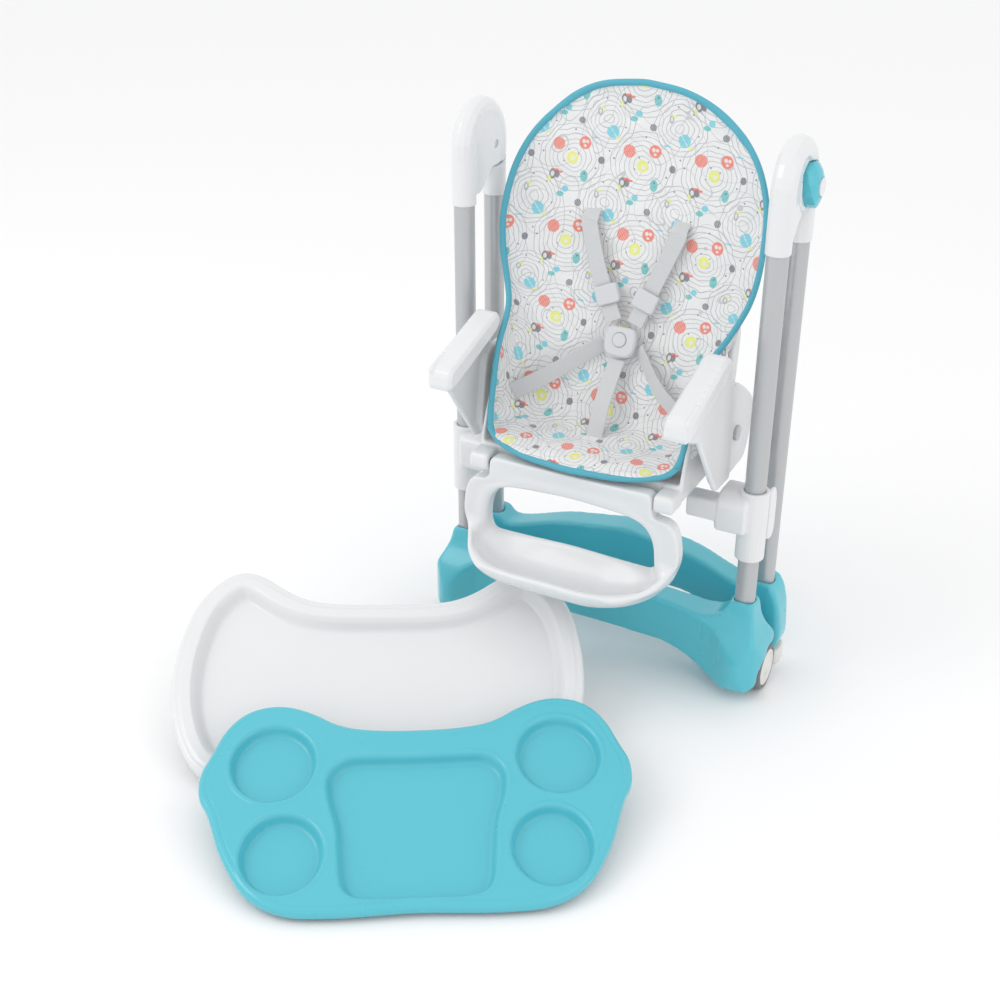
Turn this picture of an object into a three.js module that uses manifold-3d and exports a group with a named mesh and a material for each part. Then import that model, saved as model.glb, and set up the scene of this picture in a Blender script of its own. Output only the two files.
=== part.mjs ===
// A folding baby high chair, closed and standing, with its two trays taken off and leaning in front of it.
// Millimetres, +X to the viewer's right, +Y to the back of the chair, +Z up.
import * as THREE from 'three';
import { mergeVertices } from 'three/addons/utils/BufferGeometryUtils.js';
import Module from 'manifold-3d';

const wasm = await Module();
wasm.setup();

// ---------- driving dimensions ----------
const GAP = 0.4;                    // clearance between pieces that touch
const TUBE_X = 247;                 // leg tube axis to the middle of the chair
const TUBE_R = 16;
const TUBE_WALL = 1.5;
const LEG_PITCH = 95;               // front leg axis to rear leg axis, chair closed
const TUBE_BOTTOM = 96;

const HINGE_Y = 74;                 // fold pivot
const HINGE_Z = 792;
const HINGE_R = 36;
const HINGE_PIN_R = 6;
const FRONT_TUBE_TOP = HINGE_Z + 8;
const REAR_TUBE_TOP = HINGE_Z - 44;
const HUB_IN = TUBE_X - 16;         // inner face of the hub
const HUB_OUT = TUBE_X + 12;        // outer face of the hub
const HUB_SPLIT = TUBE_X - 4;       // between the inner and the outer half
const HUB_TOP = HINGE_Z + 77;
const SLEEVE_R = 18.5;
const FRONT_SLEEVE_BOTTOM = HINGE_Z - 77;
const REAR_SLEEVE_BOTTOM = HINGE_Z - 83;
const BUTTON_TRAVEL = 4;
const BUTTON_HEIGHT = 72;
const BUTTON_WIDTH = 58;
const BUTTON_OUT = HUB_OUT + 21;
const FOLD_SWEEP = 36;              // degrees the rear legs swing
const REAR_BAR_RISE = 14;           // degrees above the pivot where the rear hub's bar ends

const BASE_COLLAR_R = 20;
const FRONT_COLLAR_TOP = 163;
const REAR_COLLAR_TOP = 149;
const BASE_HALF_WIDTH = TUBE_X + 50;
const WHEEL_R = 37.5;
const WHEEL_WIDTH = 22;
const WHEEL_Y = 10;
const WHEEL_IN = TUBE_X + 21;
const WHEEL_CAP_R = 30.5;
const AXLE_R = 5;

const SLIDER_R = 22.5;
const SLIDER_BOTTOM = 235;
const SLIDER_TOP = 350;
const LEVER_PIVOT_Y = 20;
const LEVER_PIVOT_Z = SLIDER_TOP - 16;
const LEVER_PIN_R = 4;

const RECLINE_Y = 36;               // recline pivot
const RECLINE_Z = 418;
const RECLINE_PIN_R = 7;
const BACK_LEAN = 13.5;             // degrees back from upright
const BACK_POLE = 210;              // height on the back where the hollow is deepest
const PAD_THICK = 20;
const SHELL_WALL = 5;
const SEAT_FLOOR = 378;
const SEAT_HALF_WIDTH = 162;        // inside the seat shell's side walls
const SEAT_PAD_TOP = 398;
const WING_THICK = 16;              // side wings of the seat pad

const FOOT_HINGE_Y = -118;          // footrest pivot
const FOOT_HINGE_Z = 358;
const FOOT_PIN_R = 5;

const TRAY_TURN = 28.6;             // degrees in plan
const INSERT_TURN = 31.3;
const TRAY_WALL = 3;
const TRAY_TILT = 22.5;
const INSERT_TILT = 14;
const TRAY_FRONT = [-109, -526, 24.4];
const INSERT_FRONT = [72, -699, 16.6];

// ---------- helpers ----------
const SIDES = [['left', -1], ['right', 1]];
const radians = THREE.MathUtils.degToRad;

const finish = {
  white: new THREE.MeshStandardMaterial({ color: 0xf3f4f6, roughness: 0.25, metalness: 0 }),
  teal: new THREE.MeshStandardMaterial({ color: 0x62c9d8, roughness: 0.3, metalness: 0 }),
  tube: new THREE.MeshStandardMaterial({ color: 0xb9bcc0, roughness: 0.35, metalness: 0.7 }),
  steel: new THREE.MeshStandardMaterial({ color: 0xc8c8cc, roughness: 0.3, metalness: 1 }),
  tyre: new THREE.MeshStandardMaterial({ color: 0x8d9092, roughness: 0.8, metalness: 0 }),
  cap: new THREE.MeshStandardMaterial({ color: 0xe4e3df, roughness: 0.5, metalness: 0 }),
  fabric: new THREE.MeshStandardMaterial({ color: 0xeeeeec, roughness: 0.9, metalness: 0 }),
  webbing: new THREE.MeshStandardMaterial({ color: 0xcfd1d3, roughness: 0.9, metalness: 0 }),
  buckle: new THREE.MeshStandardMaterial({ color: 0xc6c8cb, roughness: 0.45, metalness: 0 }),
};

const chair = new THREE.Group();

function solid(geometry) {
  const bare = geometry.clone();
  bare.deleteAttribute('normal');
  bare.deleteAttribute('uv');
  const merged = mergeVertices(bare, 1e-4);
  const vertProperties = new Float32Array(merged.attributes.position.array);
  const triVerts = new Uint32Array(merged.index.array);
  return new wasm.Manifold(new wasm.Mesh({ numProp: 3, vertProperties, triVerts }));
}

function geometryOf(manifold) {
  const mesh = manifold.getMesh();
  const geometry = new THREE.BufferGeometry();
  geometry.setAttribute('position', new THREE.BufferAttribute(new Float32Array(mesh.vertProperties), 3));
  geometry.setIndex(new THREE.BufferAttribute(new Uint32Array(mesh.triVerts), 1));
  return geometry;
}

function add(name, shape, material, parent = chair) {
  const geometry = shape.isBufferGeometry ? shape : geometryOf(shape);
  const mesh = new THREE.Mesh(geometry, material);
  mesh.name = name;
  parent.add(mesh);
  return mesh;
}

// the same piece for the other side of the chair
function mirrored(shape) {
  const geometry = geometryOf(shape);
  geometry.scale(-1, 1, 1);
  const index = geometry.index.array;
  for (let i = 0; i < index.length; i += 3) [index[i], index[i + 1]] = [index[i + 1], index[i]];
  return geometry;
}

// both copies of a piece that is built for the +X side
function addPair(name, shape, material, parent = chair) {
  for (const [side, sign] of SIDES) add(`${name}_${side}`, sign > 0 ? shape : mirrored(shape), material, parent);
}

// from one X to another on either side of the chair, lowest first
function span(sign, from, to) {
  return sign > 0 ? [from, to] : [-to, -from];
}

// a closed outline through corner points, each corner rounded off
function rounded(points, radius) {
  const shape = new THREE.Shape();
  const corners = points.map(([x, y]) => new THREE.Vector2(x, y));
  corners.forEach((corner, i) => {
    const before = corners[(i + corners.length - 1) % corners.length];
    const after = corners[(i + 1) % corners.length];
    const half = [before, after].map((other) => corner.distanceTo(other) / 2);
    const start = corner.clone().add(before.clone().sub(corner).setLength(Math.min(radius, half[0])));
    const end = corner.clone().add(after.clone().sub(corner).setLength(Math.min(radius, half[1])));
    if (i === 0) shape.moveTo(start.x, start.y);
    else if (radius < half[0]) shape.lineTo(start.x, start.y);
    shape.quadraticCurveTo(corner.x, corner.y, end.x, end.y);
  });
  shape.closePath();
  return shape;
}

// a symmetric outline from the points of its +X half, listed from the bottom to the top
function bothHalves(half) {
  const other = half.filter(([x]) => x > 0).map(([x, y]) => [-x, y]).reverse();
  return [...half, ...other];
}

function circle(radius, x = 0, y = 0) {
  const shape = new THREE.Shape();
  shape.absarc(x, y, radius, 0, 2 * Math.PI, false);
  return shape;
}

// the outline as corner points, without points too close together or on a straight line
function tidyOutline(shape, segments) {
  let points = shape.getPoints(segments).filter((p, i, all) => p.distanceTo(all[(i + 1) % all.length]) > 0.3);
  points = points.filter((p, i, all) => {
    const before = all[(i + all.length - 1) % all.length];
    const into = p.clone().sub(before);
    const out = all[(i + 1) % all.length].clone().sub(p);
    return Math.abs(into.cross(out)) > 1e-3 * into.length() * out.length();
  });
  return new THREE.Shape(points);
}

function extrude(shape, depth, bevel, segments) {
  const settings = { depth: depth - 2 * bevel, curveSegments: segments, bevelEnabled: bevel > 0 };
  Object.assign(settings, { bevelSize: bevel, bevelThickness: bevel, bevelOffset: -bevel, bevelSegments: 1 });
  return new THREE.ExtrudeGeometry(tidyOutline(shape, segments), settings).translate(0, 0, bevel);
}

const axisX = new THREE.Vector3(1, 0, 0);
const axisY = new THREE.Vector3(0, 1, 0);
const axisZ = new THREE.Vector3(0, 0, 1);

// an outline in Y and Z, carried from one X to another
function alongX(shape, from, to, bevel = 0, segments = 2) {
  const turn = new THREE.Matrix4().makeBasis(axisY, axisZ, axisX);
  return solid(extrude(shape, to - from, bevel, segments).applyMatrix4(turn).translate(from, 0, 0));
}

// an outline in X and Z, carried from one Y to another
function alongY(shape, from, to, bevel = 0, segments = 2) {
  const turn = new THREE.Matrix4().makeBasis(axisX, axisZ, axisY.clone().negate());
  return solid(extrude(shape, to - from, bevel, segments).applyMatrix4(turn).translate(0, to, 0));
}

// an outline in X and Y, carried from one Z to another
function alongZ(shape, from, to, bevel = 0, segments = 2) {
  return solid(extrude(shape, to - from, bevel, segments).translate(0, 0, from));
}

function boxOf([x0, x1], [y0, y1], [z0, z1]) {
  const box = new THREE.BoxGeometry(x1 - x0, y1 - y0, z1 - z0);
  return solid(box.translate((x0 + x1) / 2, (y0 + y1) / 2, (z0 + z1) / 2));
}

function rodX(radius, from, to, y, z, segments = 18) {
  const rod = new THREE.CylinderGeometry(radius, radius, to - from, segments).rotateZ(-Math.PI / 2);
  return solid(rod.translate((from + to) / 2, y, z));
}

function rodZ(radius, from, to, x, y, segments = 24) {
  const rod = new THREE.CylinderGeometry(radius, radius, to - from, segments).rotateX(Math.PI / 2);
  return solid(rod.translate(x, y, (from + to) / 2));
}

// ---------- leg tubes ----------
function legTube(y, top) {
  return rodZ(TUBE_R, TUBE_BOTTOM, top, TUBE_X, y, 20)
    .subtract(rodZ(TUBE_R - TUBE_WALL, TUBE_BOTTOM - 1, top + 1, TUBE_X, y, 20));
}

addPair('front_tube', legTube(0, FRONT_TUBE_TOP), finish.tube);
addPair('rear_tube', legTube(LEG_PITCH, REAR_TUBE_TOP), finish.tube);

// ---------- hubs at the top of the legs ----------
const tubeBore = (y, bottom, top) => rodZ(TUBE_R + GAP, bottom - 1, top + GAP, TUBE_X, y, 20);
const pinBore = rodX(HINGE_PIN_R + GAP, HUB_IN - 20, HUB_OUT + 20, HINGE_Y, HINGE_Z);

// One round bar runs up the front tube, over the pivot and down to the rear tube.
const HUB_MIDDLE = LEG_PITCH / 2;
const CROWN = HUB_TOP - SLEEVE_R;
function hubBar() {
  const bend = new THREE.CatmullRomCurve3([
    [0, HINGE_Z - 14], [0, HINGE_Z + 14], [0.32 * HUB_MIDDLE, CROWN - 14], [HUB_MIDDLE, CROWN],
    [1.68 * HUB_MIDDLE, CROWN - 14], [LEG_PITCH, HINGE_Z + 16], [LEG_PITCH, HINGE_Z - 30],
  ].map(([y, z]) => new THREE.Vector3(TUBE_X, y, z)));
  const round = { steps: 16, extrudePath: bend, curveSegments: 6, bevelEnabled: false };
  return solid(new THREE.ExtrudeGeometry(circle(SLEEVE_R), round));
}

// The side of the pivot behind and below a line at the given rise, outside the round discs.
function behindPivot(rise, from, to) {
  const far = 90;
  const slope = radians(rise);
  const corners = rounded([[HINGE_Y, HINGE_Z], [HINGE_Y, HINGE_Z - far], [HINGE_Y + far, HINGE_Z - far],
    [HINGE_Y + far * Math.cos(slope), HINGE_Z + far * Math.sin(slope)]], 1);
  return alongX(corners, from, to);
}

// The front housing: a sleeve on the front tube whose head reaches back over the pivot.
function frontHousing() {
  const sleeve = rodZ(SLEEVE_R, FRONT_SLEEVE_BOTTOM, HINGE_Z, TUBE_X, 0);
  const profile = rounded([
    [0, HINGE_Z - 62], [0, CROWN - 18], [HUB_MIDDLE, HUB_TOP - 8], [LEG_PITCH, CROWN - 18],
    [LEG_PITCH + 6, HINGE_Z], [HINGE_Y, HINGE_Z - 26], [HINGE_Y - 18, HINGE_Z - 38], [40, HINGE_Z - 52],
    [26, HINGE_Z - 66],
  ], 22);
  const head = alongX(profile, HUB_IN, HUB_OUT, 3, 3).add(hubBar());
  const discs = rodX(HINGE_R, HUB_IN - 9, HUB_OUT + 9, HINGE_Y, HINGE_Z, 28);
  const innerSweep = behindPivot(FOLD_SWEEP - 26, HUB_IN - 9, HUB_OUT + 9).subtract(discs);
  const outerSweep = behindPivot(FOLD_SWEEP + REAR_BAR_RISE + 2, HUB_SPLIT - GAP, HUB_OUT + 9);
  const innerDisc = alongX(circle(HINGE_R, HINGE_Y, HINGE_Z), HUB_IN, HUB_SPLIT - GAP, 4, 5);
  const outerRoom = rodX(HINGE_R + 1, HUB_SPLIT - GAP, HUB_OUT + 9, HINGE_Y, HINGE_Z, 28);
  return sleeve.add(head).subtract(innerSweep).subtract(outerSweep).subtract(outerRoom).add(innerDisc)
    .subtract(tubeBore(0, FRONT_SLEEVE_BOTTOM, FRONT_TUBE_TOP)).subtract(pinBore);
}

function teardrop(grow) {
  const w = BUTTON_WIDTH / 2 + grow;
  const h = BUTTON_HEIGHT / 2 + grow;
  return rounded([
    [HINGE_Y - w, HINGE_Z - 0.2 * h], [HINGE_Y - 0.95 * w, HINGE_Z + 0.9 * h],
    [HINGE_Y + 0.2 * w, HINGE_Z + 1.08 * h],
    [HINGE_Y + 1.05 * w, HINGE_Z + 0.8 * h], [HINGE_Y + w, HINGE_Z - 0.4 * h], [HINGE_Y + 0.1 * w, HINGE_Z - h],
  ], 24);
}

// The rear hub: a sleeve on the rear tube and a round boss that turns on the pivot pin outside the housing.
function rearHub() {
  const sleeve = rodZ(SLEEVE_R, REAR_SLEEVE_BOTTOM, HINGE_Z - 22, TUBE_X, LEG_PITCH);
  const innerRoom = rodX(HINGE_R + 1, HUB_IN - 5, HUB_SPLIT, HINGE_Y, HINGE_Z, 28);
  const boss = alongX(circle(HINGE_R, HINGE_Y, HINGE_Z), HUB_SPLIT, HUB_OUT, 3, 5);
  const outerBar = hubBar().intersect(behindPivot(REAR_BAR_RISE, HUB_SPLIT, HUB_OUT + 9));
  const recess = alongX(teardrop(GAP), HUB_OUT - 9, HUB_OUT + 9);
  return sleeve.subtract(innerRoom).add(boss).add(outerBar)
    .subtract(tubeBore(LEG_PITCH, REAR_SLEEVE_BOTTOM, REAR_TUBE_TOP)).subtract(recess).subtract(pinBore);
}

addPair('front_housing', frontHousing(), finish.white);
addPair('rear_hub', rearHub(), finish.white);
addPair('fold_pin', rodX(HINGE_PIN_R, HUB_IN + 2, HUB_OUT - 10, HINGE_Y, HINGE_Z), finish.steel);

// The fold button: a domed teardrop with a round inlay, pressed inwards against a spring.
const BUTTON_IN = HUB_OUT - 9 + BUTTON_TRAVEL + 0.6;
const SPRING_R = 12;
function foldButton() {
  const dome = new THREE.SphereGeometry(1, 20, 10);
  dome.scale(BUTTON_OUT - HUB_OUT + 6, BUTTON_WIDTH / 2 + 6, BUTTON_HEIGHT / 2 + 6);
  dome.translate(HUB_OUT - 6, HINGE_Y, HINGE_Z);
  const body = alongX(teardrop(0), BUTTON_IN, BUTTON_OUT + 1, 0, 2).intersect(solid(dome))
    .intersect(rodX(HINGE_R, BUTTON_IN - 1, BUTTON_OUT + 2, HINGE_Y, HINGE_Z, 28));
  const springRoom = rodX(SPRING_R + 2, BUTTON_IN - 1, BUTTON_IN + 9, HINGE_Y, HINGE_Z)
    .subtract(rodX(SPRING_R - 4, BUTTON_IN - 1, BUTTON_IN + 9, HINGE_Y, HINGE_Z));
  const inlayRoom = rodX(13 + GAP, BUTTON_OUT - 4, BUTTON_OUT + 5, HINGE_Y, HINGE_Z + 2);
  return body.subtract(springRoom).subtract(inlayRoom);
}

function foldSpring() {
  const turns = 2;
  const steps = turns * 8;
  const from = HUB_OUT - 9 + 1;
  const rise = 8;
  const points = [];
  for (let i = 0; i <= steps; i += 1) {
    const angle = (2 * Math.PI * i) / 8;
    const x = from + (rise * i) / steps;
    const y = HINGE_Y + SPRING_R * Math.cos(angle);
    const z = HINGE_Z + SPRING_R * Math.sin(angle);
    points.push(new THREE.Vector3(x, y, z));
  }
  const path = new THREE.CatmullRomCurve3(points);
  const wire = circle(0.7);
  const round = { steps, extrudePath: path, curveSegments: 2, bevelEnabled: false };
  return solid(new THREE.ExtrudeGeometry(wire, round));
}

addPair('fold_button', foldButton(), finish.teal);
const foldInlay = rodX(13, BUTTON_OUT - 3.6, BUTTON_OUT - 0.4, HINGE_Y, HINGE_Z + 2);
addPair('fold_button_inlay', foldInlay, finish.white);
addPair('fold_spring', foldSpring(), finish.steel);

// ---------- front base, wheels ----------
// Each base is the common part of its front view and its plan, hollowed for the tubes.
function frontBase() {
  const front = rounded(bothHalves([
    [0, 56], [120, 54], [168, 44], [TUBE_X - 39, 24], [TUBE_X + 3, 13], [TUBE_X + 38, 20],
    [BASE_HALF_WIDTH, 48],
    [BASE_HALF_WIDTH - 3, 82], [TUBE_X + 31, 112], [TUBE_X + BASE_COLLAR_R + 1, 140],
    [TUBE_X + BASE_COLLAR_R, FRONT_COLLAR_TOP],
    [TUBE_X - BASE_COLLAR_R, FRONT_COLLAR_TOP], [TUBE_X - BASE_COLLAR_R - 6, 136],
    [190, 126], [130, 130], [0, 138],
  ]), 14);
  const plan = rounded(bothHalves([
    [0, -24], [130, -24], [TUBE_X - 37, -38], [TUBE_X + 3, -66], [TUBE_X + 24, -62],
    [BASE_HALF_WIDTH, -26], [BASE_HALF_WIDTH - 6, 30], [TUBE_X + 39, 46], [TUBE_X - 7, 40], [180, 26], [0, 20],
  ]), 22);
  const side = rounded([
    [-34, 6], [-58, 22], [-68, 58], [-54, 100], [-BASE_COLLAR_R - 4, 134],
    [-BASE_COLLAR_R, FRONT_COLLAR_TOP + 4],
    [BASE_COLLAR_R, FRONT_COLLAR_TOP + 4], [BASE_COLLAR_R + 2, 120], [46, 80], [46, 0],
  ], 12);
  let base = alongY(front, -80, 60, 0, 2)
    .intersect(alongZ(plan, 0, 200, 0, 2))
    .intersect(alongX(side, -320, 320, 0, 2));
  for (const [, sign] of SIDES) {
    const x = sign * TUBE_X;
    const ends = span(sign, WHEEL_IN - 3, WHEEL_IN + 60);
    const axle = span(sign, WHEEL_IN - 28, WHEEL_IN + 32);
    base = base
      .subtract(rodZ(TUBE_R + GAP, TUBE_BOTTOM - GAP, 200, x, 0, 20))
      .subtract(rodX(WHEEL_R + 3.5, ends[0], ends[1], WHEEL_Y, WHEEL_R, 32))
      .subtract(boxOf(ends, [WHEEL_Y, 90], [-5, WHEEL_R * 2 - 8]))
      .subtract(boxOf(ends, [-30, WHEEL_Y], [-5, WHEEL_R]))
      .subtract(rodX(AXLE_R + GAP, ...axle, WHEEL_Y, WHEEL_R));
  }
  return base;
}
add('front_base', frontBase(), finish.teal);

function tyre() {
  const half = WHEEL_WIDTH / 2;
  const inner = WHEEL_CAP_R + GAP;
  const profile = [[inner, -half], [WHEEL_R - 2, -half], [WHEEL_R, -half + 3], [WHEEL_R, half - 3],
    [WHEEL_R - 2, half], [inner, half], [inner, -half]].map(([r, h]) => new THREE.Vector2(r, h));
  const ring = new THREE.LatheGeometry(profile, 26).rotateZ(-Math.PI / 2);
  return solid(ring.translate(WHEEL_IN + half, WHEEL_Y, WHEEL_R));
}

function wheelCap() {
  const half = WHEEL_WIDTH / 2;
  const corners = [[0, -half], [WHEEL_CAP_R, -half], [WHEEL_CAP_R, half - 1], [WHEEL_CAP_R - 3, half + 2],
    [0, half + 4]];
  const profile = corners.map(([r, h]) => new THREE.Vector2(r, h));
  const disc = new THREE.LatheGeometry(profile, 26).rotateZ(-Math.PI / 2);
  return solid(disc.translate(WHEEL_IN + half, WHEEL_Y, WHEEL_R))
    .subtract(rodX(AXLE_R + GAP, WHEEL_IN - 1, WHEEL_IN + WHEEL_WIDTH - 2, WHEEL_Y, WHEEL_R));
}

addPair('tyre', tyre(), finish.tyre);
addPair('wheel_hub', wheelCap(), finish.cap);
addPair('wheel_axle', rodX(AXLE_R, WHEEL_IN - 26, WHEEL_IN + WHEEL_WIDTH - 3, WHEEL_Y, WHEEL_R), finish.steel);

// ---------- rear base and its foot pads ----------
function rearBase() {
  const front = rounded(bothHalves([
    [0, 84], [120, 80], [190, 50], [TUBE_X - 7, 26], [TUBE_X + 33, 26], [TUBE_X + 41, 50], [TUBE_X + 35, 110],
    [TUBE_X + BASE_COLLAR_R, REAR_COLLAR_TOP], [TUBE_X - BASE_COLLAR_R, REAR_COLLAR_TOP],
    [TUBE_X - BASE_COLLAR_R - 8, 132], [190, 136], [120, 153], [0, 168],
  ]), 16);
  const plan = rounded(bothHalves([
    [0, 98], [140, 92], [TUBE_X - 37, 74], [TUBE_X + 35, 68], [TUBE_X + 43, 84], [TUBE_X + 41, 116],
    [TUBE_X + 23, 126], [TUBE_X - 47, 124], [120, 142], [0, 150],
  ]), 20);
  let base = alongY(front, 50, 160, 0, 2).intersect(alongZ(plan, 0, 200, 0, 2));
  for (const [, sign] of SIDES) {
    base = base.subtract(rodZ(TUBE_R + GAP, TUBE_BOTTOM - GAP, 200, sign * TUBE_X, LEG_PITCH, 20));
  }
  return base;
}
add('rear_base', rearBase(), finish.teal);

const PAD_TOP = 25.5;
const padOutline = rounded([
  [TUBE_X - 1, 74], [TUBE_X + 33, 70], [TUBE_X + 41, 84], [TUBE_X + 38, 116], [TUBE_X + 23, 122], [TUBE_X - 1, 120],
], 12);
addPair('rear_foot_pad', alongZ(padOutline, 0, PAD_TOP, 2, 4), finish.cap);

// ---------- height sliders on the front tubes ----------
function heightSlider() {
  const collar = rodZ(SLIDER_R, SLIDER_BOTTOM, SLIDER_TOP, TUBE_X, 0);
  const blockSide = rounded([[-32, 282], [-32, 333], [-10, 345], [30, 345], [30, 286], [10, 282]], 8);
  const block = alongX(blockSide, TUBE_X - 51, TUBE_X - 1, 4);
  const armSide = rounded([[-31, 296], [-31, 331], [6, 331], [6, 296]], 6);
  const arm = alongX(armSide, SEAT_HALF_WIDTH - 12, TUBE_X - 47, 3);
  const plateSide = rounded([[4, 258], [20, 250], [30, 264], [30, 346], [4, 346]], 8);
  const plate = alongX(plateSide, TUBE_X - 7, TUBE_X + 15, 3);
  return collar.add(block).add(arm).add(plate)
    .subtract(rodZ(TUBE_R + GAP, SLIDER_BOTTOM - 5, SLIDER_TOP + 5, TUBE_X, 0, 20))
    .subtract(rodX(LEVER_PIN_R + GAP, TUBE_X - 11, TUBE_X + 28, LEVER_PIVOT_Y, LEVER_PIVOT_Z, 16));
}
addPair('height_slider', heightSlider(), finish.white);

// The lever hooks over the slider's rear edge and swings back to free the catch.
function heightLever() {
  const outline = rounded([[12, 262], [34, 256], [44, 268], [44, 324], [36, 346], [12, 346]], 9);
  const plate = alongX(outline, TUBE_X + 15.5, TUBE_X + 22, 2);
  const trunnion = rodX(LEVER_PIN_R, TUBE_X + 3, TUBE_X + 17, LEVER_PIVOT_Y, LEVER_PIVOT_Z, 16);
  return plate.subtract(rodZ(SLIDER_R + GAP + 0.4, 200, 400, TUBE_X, 0)).add(trunnion);
}
addPair('height_lever', heightLever(), finish.white);

// ---------- seat shell ----------
const EAR_IN = SEAT_HALF_WIDTH - 25; // inner face of the ears that carry the footrest
const WALL_TOP = [[-97, 384], [-80, 430], [-58, 470], [0, 500], [40, 500]];
const seatPlan = (grow) => rounded(bothHalves([
  [0, -139 - grow], [90, -122 - grow], [SEAT_HALF_WIDTH + grow, -84 - grow],
  [SEAT_HALF_WIDTH + grow, 70 + grow], [0, 70 + grow],
]), 30);

function seatShell() {
  const side = rounded([[-97, 350], ...WALL_TOP, [66, 470], [66, 350]], 10);
  const outer = alongX(side, -SEAT_HALF_WIDTH - SHELL_WALL, SEAT_HALF_WIDTH + SHELL_WALL, 0, 2);
  const above = boxOf([-SEAT_HALF_WIDTH, SEAT_HALF_WIDTH], [-200, 200], [SEAT_FLOOR, 600]);
  const below = boxOf([-SEAT_HALF_WIDTH, SEAT_HALF_WIDTH], [-91, 61], [300, SEAT_FLOOR - SHELL_WALL]);
  const strapSlot = boxOf([-22, 22], [-58, -50], [300, 400]);
  let shell = outer.subtract(above).subtract(below).subtract(strapSlot);
  for (const [, sign] of SIDES) {
    const ears = span(sign, EAR_IN, SEAT_HALF_WIDTH + SHELL_WALL);
    const ear = alongX(rounded([[-134, 346], [-134, 374], [-90, 374], [-90, 346]], 8), ears[0], ears[1], 2);
    const bore = span(sign, EAR_IN - 7, EAR_IN + 21);
    shell = shell.add(ear).subtract(rodX(FOOT_PIN_R + GAP, bore[0], bore[1], FOOT_HINGE_Y, FOOT_HINGE_Z, 16));
  }
  return shell;
}
add('seat_shell', seatShell(), finish.white);

// ---------- armrests ----------
const ARM_IN = SEAT_HALF_WIDTH + 4;
const ARM_OUT = ARM_IN + 40;
const PANEL_IN = ARM_OUT - 9;
const PIVOT_PLATE = { in: ARM_IN + 21, out: ARM_IN + 32 };
const TEETH = 6;
const TOOTH_PITCH = 15;
function armrest() {
  const top = rounded([[-38, 572], [-186, 524], [-192, 492], [-170, 494], [-40, 540], [-28, 556]], 10);
  const panel = rounded([[-190, 526], [-182, 494], [-142, 476], [-56, 360], [4, 358], [-6, 500], [-34, 568]], 9);
  const plate = rounded([
    [-40, 500], [20, 508], [62, 484], [108, 450], [112, 408], [86, 356], [-30, 352], [-60, 380],
  ], 16);
  let arm = alongX(top, ARM_IN, ARM_OUT, 5)
    .add(alongX(panel, PANEL_IN, ARM_OUT - 1, 2))
    .add(alongX(plate, PIVOT_PLATE.in, PIVOT_PLATE.out, 2))
    .subtract(rodX(RECLINE_PIN_R + GAP, PIVOT_PLATE.in - 7, ARM_OUT + 9, RECLINE_Y, RECLINE_Z));
  // notches for the tray along the outer top edge
  const along = new THREE.Vector2(-148, -48).normalize();
  for (let tooth = 0; tooth < TEETH; tooth += 1) {
    const y = -38 + along.x * (38 + TOOTH_PITCH * tooth);
    const z = 572 + along.y * (38 + TOOTH_PITCH * tooth);
    arm = arm.subtract(rodX(3.4, ARM_OUT - 9, ARM_OUT + 5, y, z + 1.5, 6));
  }
  return arm;
}
addPair('armrest', armrest(), finish.white);
const pinHead = rodX(RECLINE_PIN_R + 5, PIVOT_PLATE.out + GAP, PIVOT_PLATE.out + 4, RECLINE_Y, RECLINE_Z);
const reclinePin = rodX(RECLINE_PIN_R, SEAT_HALF_WIDTH + 10, PIVOT_PLATE.out + 2, RECLINE_Y, RECLINE_Z)
  .add(pinHead);
addPair('recline_pin', reclinePin, finish.steel);

// ---------- backrest, in its own frame: Z up the back, -Y towards the child ----------
const back = new THREE.Group();
back.position.set(0, RECLINE_Y, RECLINE_Z);
back.rotation.x = -radians(BACK_LEAN);
chair.add(back);

const HANDLE_Y = 30;                // recline handle pivot, in the back's frame
const HANDLE_Z = 318;
const HANDLE_PIN_R = 4;

// the hollow of the back: an ellipsoid centred in front of it
const HOLLOW = { across: 426, deep: 300, up: 508 };
const PAD_FRONT = -9;
function hollow(offset) {
  const ball = new THREE.SphereGeometry(1, 36, 18);
  ball.scale(HOLLOW.across + offset, HOLLOW.deep + offset, HOLLOW.up + offset);
  return solid(ball.translate(0, PAD_FRONT - HOLLOW.deep, BACK_POLE));
}

const BACK_OUTLINE = [
  [0, 14], [120, 14], [160, 60], [172, 128], [192, 168], [208, 222], [211, 272], [207, 326], [190, 382],
  [160, 426], [116, 460], [60, 482], [0, 487],
];
function backPanel(inset, inner, outer, bottom) {
  const half = BACK_OUTLINE.map(([x, z]) => [x * (1 - inset / 210), z > 250 ? z - inset : z]);
  half[0][1] = bottom;
  half[1][1] = bottom;
  return alongY(rounded(bothHalves(half), 40), -150, 60, 0, 2)
    .intersect(hollow(outer)).subtract(hollow(inner));
}

function backShell() {
  let shell = backPanel(6, PAD_THICK + GAP, PAD_THICK + GAP + SHELL_WALL, 8);
  for (const [, sign] of SIDES) {
    const earSide = rounded([[-24, -16], [-34, 150], [-12, 176], [6, 150], [18, 40], [16, -16], [0, -22]], 14);
    const ear = alongX(earSide, ...span(sign, SEAT_HALF_WIDTH + 10, SEAT_HALF_WIDTH + 19), 2);
    const padRoom = hollow(PAD_THICK + GAP).intersect(boxOf([-400, 400], [-400, 400], [100, 600]));
    const lug = alongX(rounded([[8, 296], [8, 330], [40, 330], [40, 306]], 6), ...span(sign, 56, 64));
    shell = shell.add(ear.subtract(padRoom)).add(lug)
      .subtract(rodX(RECLINE_PIN_R + GAP, ...span(sign, SEAT_HALF_WIDTH - 12, SEAT_HALF_WIDTH + 38), 0, 0))
      .subtract(rodX(HANDLE_PIN_R + GAP, -80, 80, HANDLE_Y, HANDLE_Z, 16));
  }
  return shell.subtract(hollow(PAD_THICK + GAP));
}
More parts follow.
